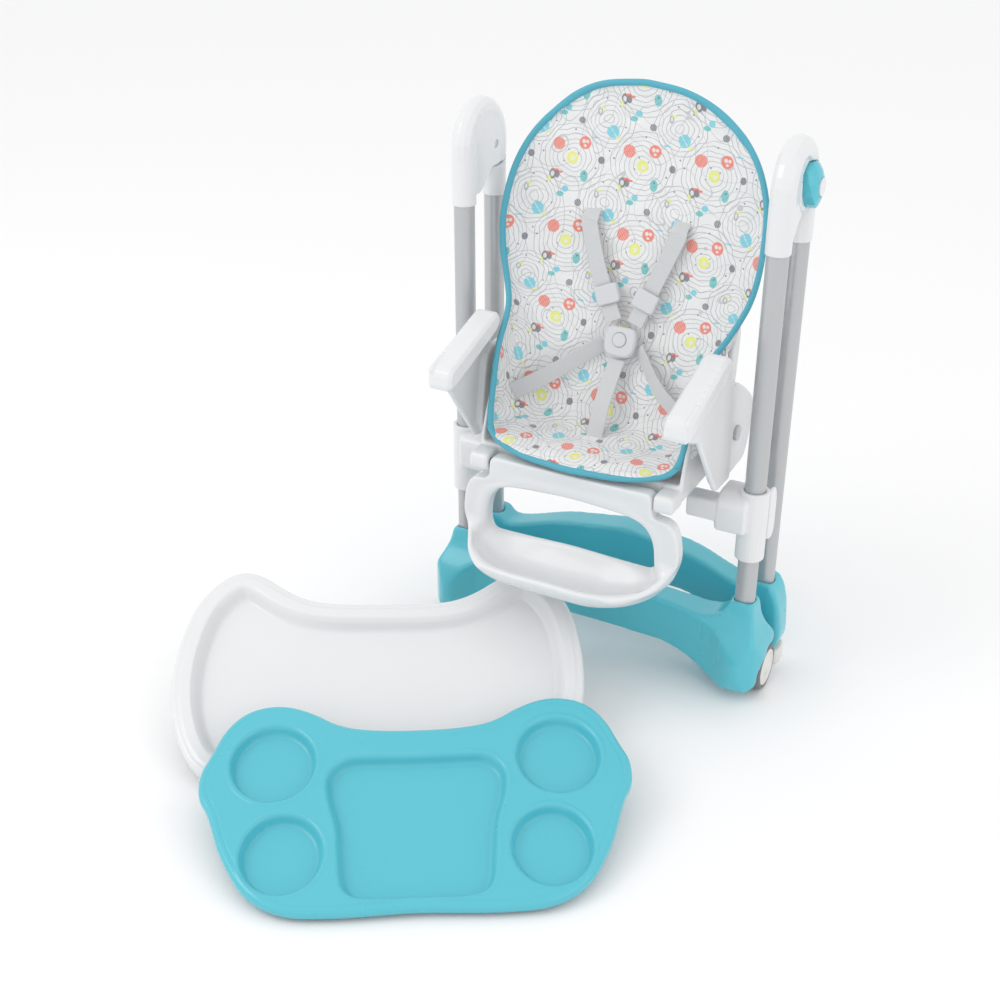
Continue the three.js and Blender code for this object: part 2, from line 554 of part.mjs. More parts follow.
add('back_shell', backShell(), finish.white, back);
add('back_pad', backPanel(0, 0, PAD_THICK, 14), finish.fabric, back);

function reclineHandle() {
  const grip = alongX(rounded([[24, 252], [24, 326], [38, 326], [44, 252]], 6), -54, 54, 3);
  const fingers = alongY(rounded([[-34, 264], [34, 264], [34, 290], [-34, 290]], 10), 10, 60);
  return grip.subtract(fingers).add(rodX(HANDLE_PIN_R, -62, 62, HANDLE_Y, HANDLE_Z, 16));
}
add('recline_handle', reclineHandle(), finish.white, back);

// ---------- seat pad ----------
function seatPad() {
  const profile = rounded([
    [-137, SEAT_FLOOR + 5], [-137, 388], [-90, 404], [-72, 452], [-54, 500], [-28, 536], [8, 556], [20, 548],
    [-2, 486], [-22, 444], [-24, 424], [34, 424], [34, SEAT_FLOOR + GAP], [-96, SEAT_FLOOR + GAP],
  ], 5);
  const half = SEAT_HALF_WIDTH - GAP;
  const room = rounded(bothHalves([[0, -200], [half - WING_THICK, -200], [half - WING_THICK, 200], [0, 200]]), 2);
  const inside = alongZ(room, SEAT_PAD_TOP, 700);
  return alongX(profile, -half, half, 0, 2)
    .intersect(alongZ(seatPlan(-GAP), 300, 700, 0, 2))
    .subtract(inside);
}
add('seat_pad', seatPad(), finish.fabric);

// ---------- harness ----------
const WEB_WIDTH = 26;
const WEB_THICK = 2.2;
// a flat strap bent along its points, its width lying as near as it can to the given direction
function strap(points, wide = axisX) {
  const path = new THREE.CatmullRomCurve3(points.map((p) => new THREE.Vector3(...p)));
  const strip = new THREE.BoxGeometry(WEB_WIDTH, WEB_THICK, 1, 1, 1, 8);
  const vertices = strip.attributes.position;
  for (let i = 0; i < vertices.count; i += 1) {
    const share = vertices.getZ(i) + 0.5;
    const along = path.getTangent(share);
    const across = wide.clone().addScaledVector(along, -wide.dot(along)).normalize();
    const place = path.getPoint(share).addScaledVector(across, vertices.getX(i))
      .addScaledVector(along.cross(across), vertices.getY(i));
    vertices.setXYZ(i, place.x, place.y, place.z);
  }
  return strip;
}

const SLOT = { x: 72, y: 76, z: 698 };          // where the shoulder straps leave the back
const BUCKLE = { x: 7, y: 29, z: 533, lean: 20, thick: 14 };
const ADJUSTER_AT = 0.74;                       // share of the way down a shoulder strap

const buckle = new THREE.Group();
buckle.position.set(BUCKLE.x, BUCKLE.y, BUCKLE.z);
buckle.rotation.x = -radians(BUCKLE.lean);
chair.add(buckle);
const BUTTON_R = 11;
const buckleOutline = rounded([[-20, -26], [20, -26], [27, -8], [24, 20], [-24, 20], [-27, -8]], 12);
const buckleBody = alongY(buckleOutline, -BUCKLE.thick / 2, BUCKLE.thick / 2, 3, 4)
  .subtract(alongY(circle(BUTTON_R + GAP), -BUCKLE.thick, 1, 0, 8));
add('buckle_body', buckleBody, finish.buckle, buckle);
add('buckle_button', alongY(circle(BUTTON_R), -BUCKLE.thick / 2 - 2, -3, 1.2, 8), finish.buckle, buckle);

for (const [side, sign] of SIDES) {
  const top = new THREE.Vector3(sign * SLOT.x, SLOT.y, SLOT.z);
  const end = new THREE.Vector3(BUCKLE.x + sign * 17, BUCKLE.y + 9, BUCKLE.z + 25);
  const at = (share) => top.clone().lerp(end, share);
  add(`shoulder_strap_${side}`, strap([top, at(0.5), end].map((p) => p.toArray())), finish.webbing);
  const adjuster = new THREE.Group();
  adjuster.position.copy(at(ADJUSTER_AT));
  const along = end.clone().sub(top).normalize();
  const across = new THREE.Vector3(1, 0, 0).addScaledVector(along, -along.x).normalize();
  const outward = across.clone().cross(along).negate();
  adjuster.setRotationFromMatrix(new THREE.Matrix4().makeBasis(across, outward, along));
  chair.add(adjuster);
  const frame = alongY(rounded([[-19, -15], [19, -15], [19, 15], [-19, 15]], 5), -5, 5, 1.5)
    .subtract(boxOf([-WEB_WIDTH / 2 - 2, WEB_WIDTH / 2 + 2], [-2.6, 2.6], [-20, 20]));
  add(`strap_adjuster_${side}`, frame, finish.buckle, adjuster);
  const waist = [[BUCKLE.x + sign * 29, BUCKLE.y + 2, BUCKLE.z - 10], [sign * 84, -2, 478], [sign * 124, -16, 452]];
  add(`waist_strap_${side}`, strap(waist, axisZ), finish.webbing);
}
const crotch = [[BUCKLE.x - 1, BUCKLE.y - 10, BUCKLE.z - 29], [2, -20, 450], [0, -42, SEAT_PAD_TOP + 2]];
add('crotch_strap', strap(crotch), finish.webbing);

// ---------- footrest ----------
const FOOT_BACK = -105;
const FOOT_FRONT = -131;
const EAR_ROOM_R = 24;              // room cut for the seat's ears to turn in
function footrest() {
  const outer = rounded(bothHalves([
    [0, 176], [118, 175], [158, 182], [176, 215], [182, 262], [177, 310], [166, 340],
    [EAR_IN - 1.4, 341], [EAR_IN - 1.4, 372], [0, 372],
  ]), 18);
  const windowHalf = [[0, 242], [112, 238], [136, 236], [142, 264], [136, 302], [112, 326], [0, 332]];
  const window = rounded(bothHalves(windowHalf), 24);
  const ledgePlan = rounded(bothHalves([[0, -226], [96, -223], [146, -204], [170, -166], [174, -110], [0, -106]]), 30);
  const ledgeSide = rounded([[-226, 238], [-226, 214], [-176, 190], [-112, 176], [-106, 238]], 9);
  const scoopPlan = rounded(bothHalves([[0, -213], [88, -210], [134, -194], [154, -160], [156, -90], [0, -90]]), 28);
  const scoopSide = rounded([
    [-214, 290], [-212, 226], [-186, 208], [-148, 203], [-124, 226], [-112, 250], [-112, 290],
  ], 10);
  const ledge = alongX(ledgeSide, -180, 180, 0, 2).intersect(alongZ(ledgePlan, 150, 260, 0, 2));
  const scoop = alongX(scoopSide, -170, 170, 0, 2).intersect(alongZ(scoopPlan, 150, 300, 0, 2));
  let frame = alongY(outer, FOOT_FRONT, FOOT_BACK, 5, 2).add(ledge).subtract(scoop)
    .subtract(alongY(window, -260, -90, 0, 2));
  for (const [, sign] of SIDES) {
    const bore = span(sign, EAR_IN - 19, EAR_IN + 3);
    frame = frame.subtract(rodX(FOOT_PIN_R + GAP, ...bore, FOOT_HINGE_Y, FOOT_HINGE_Z, 16))
      .subtract(rodX(EAR_ROOM_R, ...span(sign, EAR_IN - 1, EAR_IN + 63), FOOT_HINGE_Y, FOOT_HINGE_Z));
  }
  return frame;
}
add('footrest', footrest(), finish.white);
addPair('footrest_pin', rodX(FOOT_PIN_R, EAR_IN - 18, EAR_IN + 20, FOOT_HINGE_Y, FOOT_HINGE_Z, 16), finish.steel);

// ---------- trays, each in its own frame: X across, Y from front to back, Z up out of the dish ----------
function trayGroup(front, tilt, turn) {
  const group = new THREE.Group();
  group.position.set(...front);
  group.rotation.set(radians(tilt), 0, radians(turn), 'ZYX');
  chair.add(group);
  return group;
}

function insetHalf(half, inset) {
  const width = Math.max(...half.map(([x]) => x));
  const depth = Math.max(...half.map(([, y]) => y));
  return half.map(([x, y]) => [x * (1 - inset / width), depth / 2 + (y - depth / 2) * (1 - (2 * inset) / depth)]);
}

const TRAY_DEEP = 26;
const DISH_DEEP = 18;
const TRAY_RIM = 30;
const LATCH = { in: 295, out: 308, front: 176, back: 244, low: -24, high: -7, travel: 8 };
function servingTray() {
  const half = [[0, 0], [180, 2], [256, 28], [292, 90], [310, 170], [307, 250], [288, 330], [240, 384], [196, 382],
    [140, 338], [90, 322], [0, 321]];
  const outline = (inset, radius) => rounded(bothHalves(insetHalf(half, inset)), radius);
  const outer = alongZ(outline(0, 60), -TRAY_DEEP, 0, 5, 2);
  const dish = alongZ(outline(TRAY_RIM, 46), -DISH_DEEP, 20, 0, 2);
  const under = alongZ(outline(TRAY_WALL + 1, 56), -TRAY_DEEP - 5, -TRAY_WALL - 1, 0, 2)
    .subtract(alongZ(outline(TRAY_RIM - TRAY_WALL, 48), -DISH_DEEP - TRAY_WALL, 10, 0, 2));
  let tray = outer.subtract(dish).subtract(under);
  for (const [, sign] of SIDES) {
    const ends = span(sign, LATCH.in - LATCH.travel - 1, LATCH.out + 20);
    tray = tray.subtract(boxOf(ends, [LATCH.front - GAP, LATCH.back + GAP], [-40, LATCH.high + GAP]));
  }
  return tray;
}
const tray = trayGroup(TRAY_FRONT, TRAY_TILT, TRAY_TURN);
add('serving_tray', servingTray(), finish.white, tray);
const latchOutline = rounded([
  [LATCH.in, LATCH.front], [LATCH.out, LATCH.front], [LATCH.out, LATCH.back], [LATCH.in, LATCH.back],
], 4);
addPair('tray_latch', alongZ(latchOutline, LATCH.low, LATCH.high, 1.5), finish.white, tray);

const WELL_DEEP = 15;
const CUPS = [[200, 250, 61, 67], [180, 101, 57, 64]];
function insertTray() {
  const half = [[0, 14], [100, 9], [176, 12], [226, 42], [262, 106], [284, 176], [299, 198], [300, 238],
    [288, 264], [272, 312], [242, 346], [196, 356], [150, 340], [110, 312], [60, 303], [0, 301]];
  const outline = (inset) => rounded(bothHalves(insetHalf(half, inset)), 30);
  const ellipse = (x, y, a, b) => new THREE.Shape().absellipse(x, y, a, b, 0, 2 * Math.PI, false);
  const plateHalf = [[0, 27], [80, 27], [102, 44], [107, 92], [110, 140], [126, 196], [126, 232], [100, 258],
    [0, 256]];
  const plateWell = (inset) => {
    const points = plateHalf.map(([x, y]) => [x * (1 - inset / 126), 140 + (y - 140) * (1 - inset / 118)]);
    return rounded(bothHalves(points), 20);
  };
  const skin = alongZ(outline(0), -12, 0).subtract(alongZ(outline(TRAY_WALL), -20, -TRAY_WALL, 0, 2));
  let wells = alongZ(plateWell(0), -WELL_DEEP, 9, 0, 2);
  let cups = alongZ(plateWell(-TRAY_WALL), -WELL_DEEP - TRAY_WALL, -1, 0, 2);
  for (const [, sign] of SIDES) {
    for (const [x, y, a, b] of CUPS) {
      wells = wells.add(alongZ(ellipse(sign * x, y, a, b), -WELL_DEEP, 9, 0, 6));
      const round = ellipse(sign * x, y, a + TRAY_WALL, b + TRAY_WALL);
      cups = cups.add(alongZ(round, -WELL_DEEP - TRAY_WALL, -1, 0, 6));
    }
  }
  return skin.add(cups).subtract(wells);
}
add('insert_tray', insertTray(), finish.teal, trayGroup(INSERT_FRONT, INSERT_TILT, INSERT_TURN));

// the origin goes under the middle of everything, on the floor
const bounds = new THREE.Box3().setFromObject(chair, true);
const middle = bounds.getCenter(new THREE.Vector3());
chair.position.set(-middle.x, -middle.y, -bounds.min.z);

export default chair;
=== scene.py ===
"""A folding baby high chair, closed and standing, with its two trays leaning in front of it."""
import math

import bmesh
import bpy
import numpy as np
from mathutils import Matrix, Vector


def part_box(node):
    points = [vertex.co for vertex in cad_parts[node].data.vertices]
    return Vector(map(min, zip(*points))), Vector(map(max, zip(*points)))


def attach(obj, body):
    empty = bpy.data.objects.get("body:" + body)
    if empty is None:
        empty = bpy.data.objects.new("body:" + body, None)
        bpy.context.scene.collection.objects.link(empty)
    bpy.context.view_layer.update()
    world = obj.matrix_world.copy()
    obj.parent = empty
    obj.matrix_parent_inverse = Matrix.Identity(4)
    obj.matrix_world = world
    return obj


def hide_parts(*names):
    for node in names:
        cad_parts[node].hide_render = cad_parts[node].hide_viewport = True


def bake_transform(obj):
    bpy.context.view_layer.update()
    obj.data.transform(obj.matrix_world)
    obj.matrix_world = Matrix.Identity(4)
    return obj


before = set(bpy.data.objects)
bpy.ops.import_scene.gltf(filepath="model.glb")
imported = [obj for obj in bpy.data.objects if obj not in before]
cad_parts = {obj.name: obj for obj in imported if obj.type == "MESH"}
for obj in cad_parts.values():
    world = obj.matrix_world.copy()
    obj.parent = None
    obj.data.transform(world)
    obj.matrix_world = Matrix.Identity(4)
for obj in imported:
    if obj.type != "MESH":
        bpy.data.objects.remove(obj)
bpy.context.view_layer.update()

# ---------- the chair's own axes ----------
# Sizes below are millimetres from the middle of the chair, from the front legs and from the floor.
left_leg, right_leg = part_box("front_tube_left"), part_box("front_tube_right")
middle_x = (left_leg[0].x + right_leg[1].x) / 2
leg_y = (left_leg[0].y + left_leg[1].y) / 2
SIDES = (("left", -1), ("right", 1))


def chair(points):
    """Millimetres on the chair's own axes as places in the frame: divide by 1000 and move to the legs."""
    return np.asarray(points, float) / 1000 + (middle_x, leg_y, 0)


# ---------- camera, floor and light ----------
# A pale floor without an end, lit by a white sky and two large soft lamps.
camera = bpy.data.objects.new("camera", bpy.data.cameras.new("camera"))
bpy.context.collection.objects.link(camera)
camera.location = chair((804, -1838, 1346))
camera.rotation_euler = (math.radians(61.7), 0, math.radians(28.3))
camera.data.lens = 51.4
bpy.context.scene.camera = camera
bpy.context.scene.view_settings.view_transform = "Standard"

SKY_STRENGTH = 1.0
sky = bpy.data.worlds.new("sky")
sky.use_nodes = True
sky.node_tree.nodes["Background"].inputs["Color"].default_value = (1, 1, 1, 1)
sky.node_tree.nodes["Background"].inputs["Strength"].default_value = SKY_STRENGTH
bpy.context.scene.world = sky


def lamp(name, place, aim, size, power):
    """A square soft lamp at one place in metres, turned to another."""
    light = bpy.data.objects.new(name, bpy.data.lights.new(name, "AREA"))
    bpy.context.collection.objects.link(light)
    light.location = place
    light.rotation_euler = (Vector(place) - Vector(aim)).to_track_quat("Z", "Y").to_euler()
    light.data.size = size
    light.data.energy = power


lamp("key_lamp", (-1.8, -1.6, 2.6), (0, 0.2, 0.4), 1.6, 20)
lamp("fill_lamp", (2.4, -0.4, 1.8), (0, 0.2, 0.5), 1.8, 6)


def node_material(name):
    """An empty node material with one Principled shader, and that shader."""
    material = bpy.data.materials.new(name)
    material.use_nodes = True
    return material, material.node_tree.nodes["Principled BSDF"]


floor_mesh = bpy.data.meshes.new("floor")
FLOOR = 150
FLOOR_Z = -0.0005
floor_mesh.from_pydata([(-FLOOR, -FLOOR, FLOOR_Z), (FLOOR, -FLOOR, FLOOR_Z), (FLOOR, FLOOR, FLOOR_Z),
                        (-FLOOR, FLOOR, FLOOR_Z)], [], [(0, 1, 2, 3)])
floor = bpy.data.objects.new("floor", floor_mesh)
bpy.context.collection.objects.link(floor)
floor_paint, floor_shader = node_material("floor_paint")
floor_shader.inputs["Base Color"].default_value = (0.93, 0.93, 0.935, 1)
floor_shader.inputs["Roughness"].default_value = 0.9
floor_shader.inputs["Specular IOR Level"].default_value = 0.1
floor_mesh.materials.append(floor_paint)


# ---------- leg tubes ----------
# Four steel tubes, 32 mm across, in satin silver-grey paint, held in the hubs above and the base beams below.
def surface(points, close_rows=False, close_columns=False, uv=None):
    """A mesh over a grid of places, rows by columns. A closed direction joins its last line to its first."""
    rows, columns = points.shape[:2]
    number = np.arange(rows * columns).reshape(rows, columns)
    if close_rows:
        number = np.vstack([number, number[:1]])
    if close_columns:
        number = np.hstack([number, number[:, :1]])
    corners = np.stack([number[:-1, :-1], number[1:, :-1], number[1:, 1:], number[:-1, 1:]], -1)
    mesh = bpy.data.meshes.new("surface")
    mesh.from_pydata(points.reshape(-1, 3).tolist(), [], corners.reshape(-1, 4).tolist())
    if uv is not None:
        layer = mesh.uv_layers.new(name="UVMap")
        placed = np.stack([uv[:-1, :-1], uv[1:, :-1], uv[1:, 1:], uv[:-1, 1:]], 2).reshape(-1)
        layer.data.foreach_set("uv", placed.astype(np.float32))
    return tidied(mesh)


def tidied(mesh):
    """The mesh with its doubled points merged, its faces pointing outwards and its shading smooth."""
    work = bmesh.new()
    work.from_mesh(mesh)
    bmesh.ops.remove_doubles(work, verts=work.verts, dist=1e-6)
    bmesh.ops.dissolve_degenerate(work, edges=work.edges, dist=1e-7)
    bmesh.ops.recalc_face_normals(work, faces=work.faces)
    work.to_mesh(mesh)
    work.free()
    mesh.shade_smooth()
    return mesh


def revolved(profile, centre, axis, steps=72):
    """A profile of (radius, distance along) pairs turned about an axis through a centre, in millimetres."""
    profile = np.asarray(profile, float)
    angle = np.linspace(0, 2 * np.pi, steps, endpoint=False)
    along = np.eye(3)[axis]
    first, second = np.eye(3)[(axis + 1) % 3], np.eye(3)[(axis + 2) % 3]
    ring = np.cos(angle)[:, None] * first + np.sin(angle)[:, None] * second
    places = centre + profile[:, None, :1] * ring + profile[:, None, 1:] * along
    return surface(chair(places), close_columns=True)


def made(name, mesh, material, edge=35):
    """An object of that name in the scene, its faces smooth except across edges sharper than the angle."""
    thing = bpy.data.objects.new(name, mesh)
    bpy.context.collection.objects.link(thing)
    mesh.materials.clear()
    mesh.materials.append(material)
    mesh.set_sharp_from_angle(angle=math.radians(edge))
    return thing


def effect(name, inputs, outputs):
    """A new shader node group with named sockets, its tree, and its input and output nodes."""
    tree = bpy.data.node_groups.new(name, "ShaderNodeTree")
    for label, kind, value in inputs:
        socket = tree.interface.new_socket(label, in_out="INPUT", socket_type=kind)
        if value is not None:
            socket.default_value = value
    for label, kind in outputs:
        tree.interface.new_socket(label, in_out="OUTPUT", socket_type=kind)
    return tree, tree.nodes.new("NodeGroupInput"), tree.nodes.new("NodeGroupOutput")


def node(tree, kind, links=None, **settings):
    """A node of that kind in a tree, with its settings, and its inputs linked or given values."""
    made_node = tree.nodes.new(kind)
    for key, value in settings.items():
        setattr(made_node, key, value)
    for key, value in (links or {}).items():
        if isinstance(value, bpy.types.NodeSocket):
            tree.links.new(value, made_node.inputs[key])
        else:
            made_node.inputs[key].default_value = value
    return made_node


def maths(tree, operation, first, second=0.0, third=0.0):
    """The result socket of a Math node."""
    return node(tree, "ShaderNodeMath", {0: first, 1: second, 2: third}, operation=operation).outputs[0]


def skin_effect():
    """Fine speckle for height, and slow faint mottling for colour and roughness."""
    tree, given, result = effect(
        "moulded_skin",
        [("Vector", "NodeSocketVector", None), ("Colour", "NodeSocketColor", (1, 1, 1, 1)),
         ("Roughness", "NodeSocketFloat", 0.3), ("Grain", "NodeSocketFloat", 900.0)],
        [("Colour", "NodeSocketColor"), ("Roughness", "NodeSocketFloat"), ("Height", "NodeSocketFloat")])
    fine = node(tree, "ShaderNodeTexNoise",
                {"Vector": given.outputs["Vector"], "Scale": given.outputs["Grain"], "Detail": 2.0})
    slow = node(tree, "ShaderNodeTexNoise", {"Vector": given.outputs["Vector"], "Scale": 9.0, "Detail": 3.0})
    shade = maths(tree, "MULTIPLY_ADD", slow.outputs["Fac"], 0.03, 0.985)
    tint = node(tree, "ShaderNodeVectorMath", {0: given.outputs["Colour"], "Scale": shade}, operation="SCALE")
    rough = maths(tree, "MULTIPLY_ADD", slow.outputs["Fac"], 0.06, -0.03)
    rough = maths(tree, "ADD", rough, given.outputs["Roughness"])
    tree.links.new(tint.outputs[0], result.inputs["Colour"])
    tree.links.new(rough, result.inputs["Roughness"])
    tree.links.new(fine.outputs["Fac"], result.inputs["Height"])
    return tree


MOULDED_SKIN = skin_effect()


def moulded_material(name, colour, roughness, grain=900.0, bump=0.03, metallic=0.0, coat=0.0, specular=0.5):
    """A material whose colour, roughness and height come from the moulded skin effect on Object coordinates."""
    material, shader = node_material(name)
    tree = material.node_tree
    place = node(tree, "ShaderNodeTexCoord")
    skin = node(tree, "ShaderNodeGroup", node_tree=MOULDED_SKIN)
    tree.links.new(place.outputs["Object"], skin.inputs["Vector"])
    skin.inputs["Colour"].default_value = (*colour, 1)
    skin.inputs["Roughness"].default_value = roughness
    skin.inputs["Grain"].default_value = grain
    relief = node(tree, "ShaderNodeBump", {"Strength": bump, "Distance": 0.001, "Height": skin.outputs["Height"]})
    tree.links.new(skin.outputs["Colour"], shader.inputs["Base Color"])
    tree.links.new(skin.outputs["Roughness"], shader.inputs["Roughness"])
    tree.links.new(relief.outputs[0], shader.inputs["Normal"])
    shader.inputs["Metallic"].default_value = metallic
    shader.inputs["Coat Weight"].default_value = coat
    shader.inputs["Specular IOR Level"].default_value = specular
    return material


silver_paint = moulded_material("silver_paint", (0.50, 0.51, 0.52), 0.36, grain=1600.0, bump=0.05, metallic=0.55,
                                coat=0.15)

TUBE_R = 16
TUBE_WALL = 1.5
for node_name, body in (("front_tube", "front_frame"), ("rear_tube", "rear_frame")):
    for side, sign in SIDES:
        low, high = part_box(f"{node_name}_{side}")
        centre = ((low.x + high.x) / 2 - middle_x, (low.y + high.y) / 2 - leg_y, 0)
        bottom, top = low.z * 1000, high.z * 1000
        wall = [(TUBE_R - TUBE_WALL, bottom), (TUBE_R - 0.4, bottom), (TUBE_R, bottom + 0.4), (TUBE_R, top - 0.4),
                (TUBE_R - 0.4, top), (TUBE_R - TUBE_WALL, top), (TUBE_R - TUBE_WALL, bottom)]
        tube = made(f"leg_{node_name}_{side}", revolved(wall, np.array(centre) * 1000, 2, 96), silver_paint)
        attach(tube, body)
        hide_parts(f"{node_name}_{side}")


# ---------- hubs, fold buttons and pins ----------
# White glossy mouldings over the tube tops, hinged on a pin; a turquoise button with a pale inlay frees the fold.
def copied(cad_name):
    """A copy of a CAD node's mesh, with its doubled points merged."""
    work = bmesh.new()
    work.from_mesh(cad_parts[cad_name].data)
    bmesh.ops.remove_doubles(work, verts=work.verts, dist=1e-6)
    mesh = bpy.data.meshes.new("copy")
    work.to_mesh(mesh)
    work.free()
    mesh.materials.clear()
    return mesh


def applied(thing):
    """The object's mesh with its modifiers worked in, and the object removed."""
    mesh = bpy.data.meshes.new_from_object(thing.evaluated_get(bpy.context.evaluated_depsgraph_get()))
    bpy.data.objects.remove(thing)
    return mesh


def softened(mesh, voxel, rounds):
    """The mesh rebuilt in small cubes and drawn smooth, so that every edge is rounded.
    Each round moves a point half way to the mean of its neighbours; voxel is the cube's side in millimetres."""
    thing = bpy.data.objects.new("work", mesh)
    bpy.context.collection.objects.link(thing)
    rebuild = thing.modifiers.new("rebuild", "REMESH")
    rebuild.mode = "VOXEL"
    rebuild.voxel_size = voxel / 1000
    smooth = thing.modifiers.new("smooth", "SMOOTH")
    smooth.iterations = rounds
    mesh = applied(thing)
    mesh.shade_smooth()
    return mesh


white_gloss = moulded_material("white_gloss", (0.76, 0.765, 0.775), 0.26, coat=0.25)
turquoise_gloss = moulded_material("turquoise_gloss", (0.085, 0.50, 0.60), 0.28, coat=0.3)
steel = moulded_material("satin_steel", (0.62, 0.62, 0.64), 0.32, grain=2200.0, metallic=1.0)
pale_matt = moulded_material("pale_matt", (0.74, 0.73, 0.71), 0.55, grain=700.0, bump=0.08)

for side, sign in SIDES:
    housing = made(f"hub_cover_{side}", softened(copied(f"front_housing_{side}"), 1.2, 6), white_gloss, 80)
    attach(housing, "front_frame")
    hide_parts(f"front_housing_{side}")
    arm = made(f"hub_arm_{side}", softened(copied(f"rear_hub_{side}"), 1.0, 2), white_gloss, 80)
    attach(arm, "rear_frame")
    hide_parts(f"rear_hub_{side}")
    button = made(f"fold_knob_{side}", softened(copied(f"fold_button_{side}"), 0.8, 8), turquoise_gloss, 80)
    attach(button, f"fold_button_{side}")
    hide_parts(f"fold_button_{side}")
    inlay = made(f"fold_knob_inlay_{side}", softened(copied(f"fold_button_inlay_{side}"), 0.6, 5), white_gloss, 80)
    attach(inlay, f"fold_button_{side}")
    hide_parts(f"fold_button_inlay_{side}")
    for pin in ("fold_pin", "fold_spring", "wheel_axle", "recline_pin", "footrest_pin"):
        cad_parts[f"{pin}_{side}"].data.materials.clear()
        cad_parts[f"{pin}_{side}"].data.materials.append(steel)


# ---------- base beams, wheels and foot pads ----------
# Turquoise mouldings that join the legs at the floor; two grey tyred wheels in front, two pale pads behind.
for beam, body in (("front_base", "front_frame"), ("rear_base", "rear_frame")):
    moulding = made(f"{beam}_beam", softened(copied(beam), 2.5, 28), turquoise_gloss, 80)
    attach(moulding, body)
    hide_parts(beam)

tyre_rubber = moulded_material("tyre_rubber", (0.20, 0.205, 0.21), 0.6, grain=500.0, bump=0.15, specular=0.3)
WHEEL_R = 37.5
for side, sign in SIDES:
    low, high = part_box(f"tyre_{side}")
    centre = np.array([(low.x + high.x) / 2 - middle_x, (low.y + high.y) / 2 - leg_y, (low.z + high.z) / 2]) * 1000
    across = np.linspace(-11, 11, 34)
    crown = WHEEL_R - 2.6 * np.abs(across / 11) ** 4 - 0.5 * (np.abs(np.abs(across) - 5.5) < 0.6)
    tread = [(30.9, -11)] + list(zip(crown, across)) + [(30.9, 11), (30.9, -11)]
    tyre = made(f"tyre_ring_{side}", revolved(tread, centre, 0, 96), tyre_rubber)
    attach(tyre, f"wheel_{side}")
    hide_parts(f"tyre_{side}")
    dish = [(0, -10.5), (5.6, -10.5), (5.6, -10.9), (29, -10.9), (30.4, -9.5), (30.4, 9.5), (29.4, 11.2), (27, 12),
            (24.5, 11.4), (23.6, 10.2), (20, 9.8), (14, 10.4), (10.5, 12.2), (9.4, 14.2), (7, 14.9), (0, 15)]
    cap = made(f"wheel_cap_{side}", revolved([(r, sign * h) for r, h in dish], centre, 0, 96), pale_matt)
    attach(cap, f"wheel_{side}")
    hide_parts(f"wheel_hub_{side}")
    foot = made(f"foot_pad_{side}", softened(copied(f"rear_foot_pad_{side}"), 1.2, 5), pale_matt, 80)
    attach(foot, "rear_frame")
    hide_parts(f"rear_foot_pad_{side}")


# ---------- sliders, levers, seat shell, armrests, backrest ----------
# White glossy mouldings. The sliders run on the front tubes and carry the shell, the armrests and the footrest.
HARD_PARTS = (
    ("height_slider_left", "seat", 1.3, 6), ("height_slider_right", "seat", 1.3, 6),
    ("height_lever_left", "height_lever_left", 1.0, 5), ("height_lever_right", "height_lever_right", 1.0, 5),
    ("seat_shell", "seat", 2.4, 4), ("armrest_left", "seat", 1.3, 6), ("armrest_right", "seat", 1.3, 6),
    ("back_shell", "backrest", 2.5, 4), ("recline_handle", "recline_handle", 1.2, 6),
)
for cad_name, body, voxel, rounds in HARD_PARTS:
    part = made(f"{cad_name}_moulding", softened(copied(cad_name), voxel, rounds), white_gloss, 80)
    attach(part, body)
    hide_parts(cad_name)


# ---------- the footrest ----------
# A white ring that hangs from the front of the shell on two pins: a flat frame around a window, whose section
# swells into a scooped ledge for the feet at the bottom.
def rounded(corners, radius, steps=8):
    """A closed outline through corners, each replaced by a quadratic curve that starts `radius` before it."""
    corners = np.asarray(corners, float)
    before, after = np.roll(corners, 1, 0) - corners, np.roll(corners, -1, 0) - corners
    share = []
    for side in (before, after):
        length = np.linalg.norm(side, axis=1)[:, None]
        share.append(side * np.minimum(radius / length, 0.5))
    t = np.linspace(0, 1, steps)[None, :, None]
    start, end = (corners + share[0])[:, None], (corners + share[1])[:, None]
    curve = start * (1 - t) ** 2 + corners[:, None] * 2 * t * (1 - t) + end * t ** 2
    return curve.reshape(-1, 2)


def both_halves(half):
    """A symmetric outline from the points of its +X half, listed from the bottom to the top."""
    other = [(-x, y) for x, y in half if x > 0][::-1]
    return list(half) + other


def evenly(outline, count, carried=None):
    """The closed outline, or values carried by its points, at `count` even distances along it."""
    closed = np.vstack([outline, outline[:1]])
    values = closed if carried is None else np.vstack([carried, carried[:1]])
    step = np.linalg.norm(np.diff(closed, axis=0), axis=1)
    run = np.concatenate([[0], np.cumsum(step)])
    at = np.linspace(0, run[-1], count, endpoint=False)
    return np.stack([np.interp(at, run, values[:, k]) for k in range(values.shape[1])], -1)


def eased(value):
    """0 below 0, 1 above 1, and a smooth S between."""
    value = np.clip(value, 0, 1)
    return value * value * (3 - 2 * value)


FOOT_MIDDLE = np.array([0, 287])
FOOT_HALF = [(0, 176), (100, 177), (146, 191), (170, 226), (181, 270), (177, 308), (166, 331), (135, 333), (135, 372),
             (0, 372)]
WINDOW_HALF = [(0, 242), (112, 238), (136, 238), (142, 264), (136, 302), (112, 326), (0, 332)]
# the section at the bottom and at the sides: share of the way from the window to the outer edge, and y
LEDGE_SECTION = np.array([(1, -105), (0.79, -176), (0.42, -224), (0.06, -227), (0.10, -212), (0.5, -186), (0.59, -148),
                          (0.24, -124), (-0.04, -112), (0.06, -105)])
FRAME_SECTION = np.array([(1, -105), (1, -118), (1, -129), (0.94, -131), (0.8, -131), (0.5, -130), (0.2, -131),
                          (0, -128), (0, -112), (0, -105)])


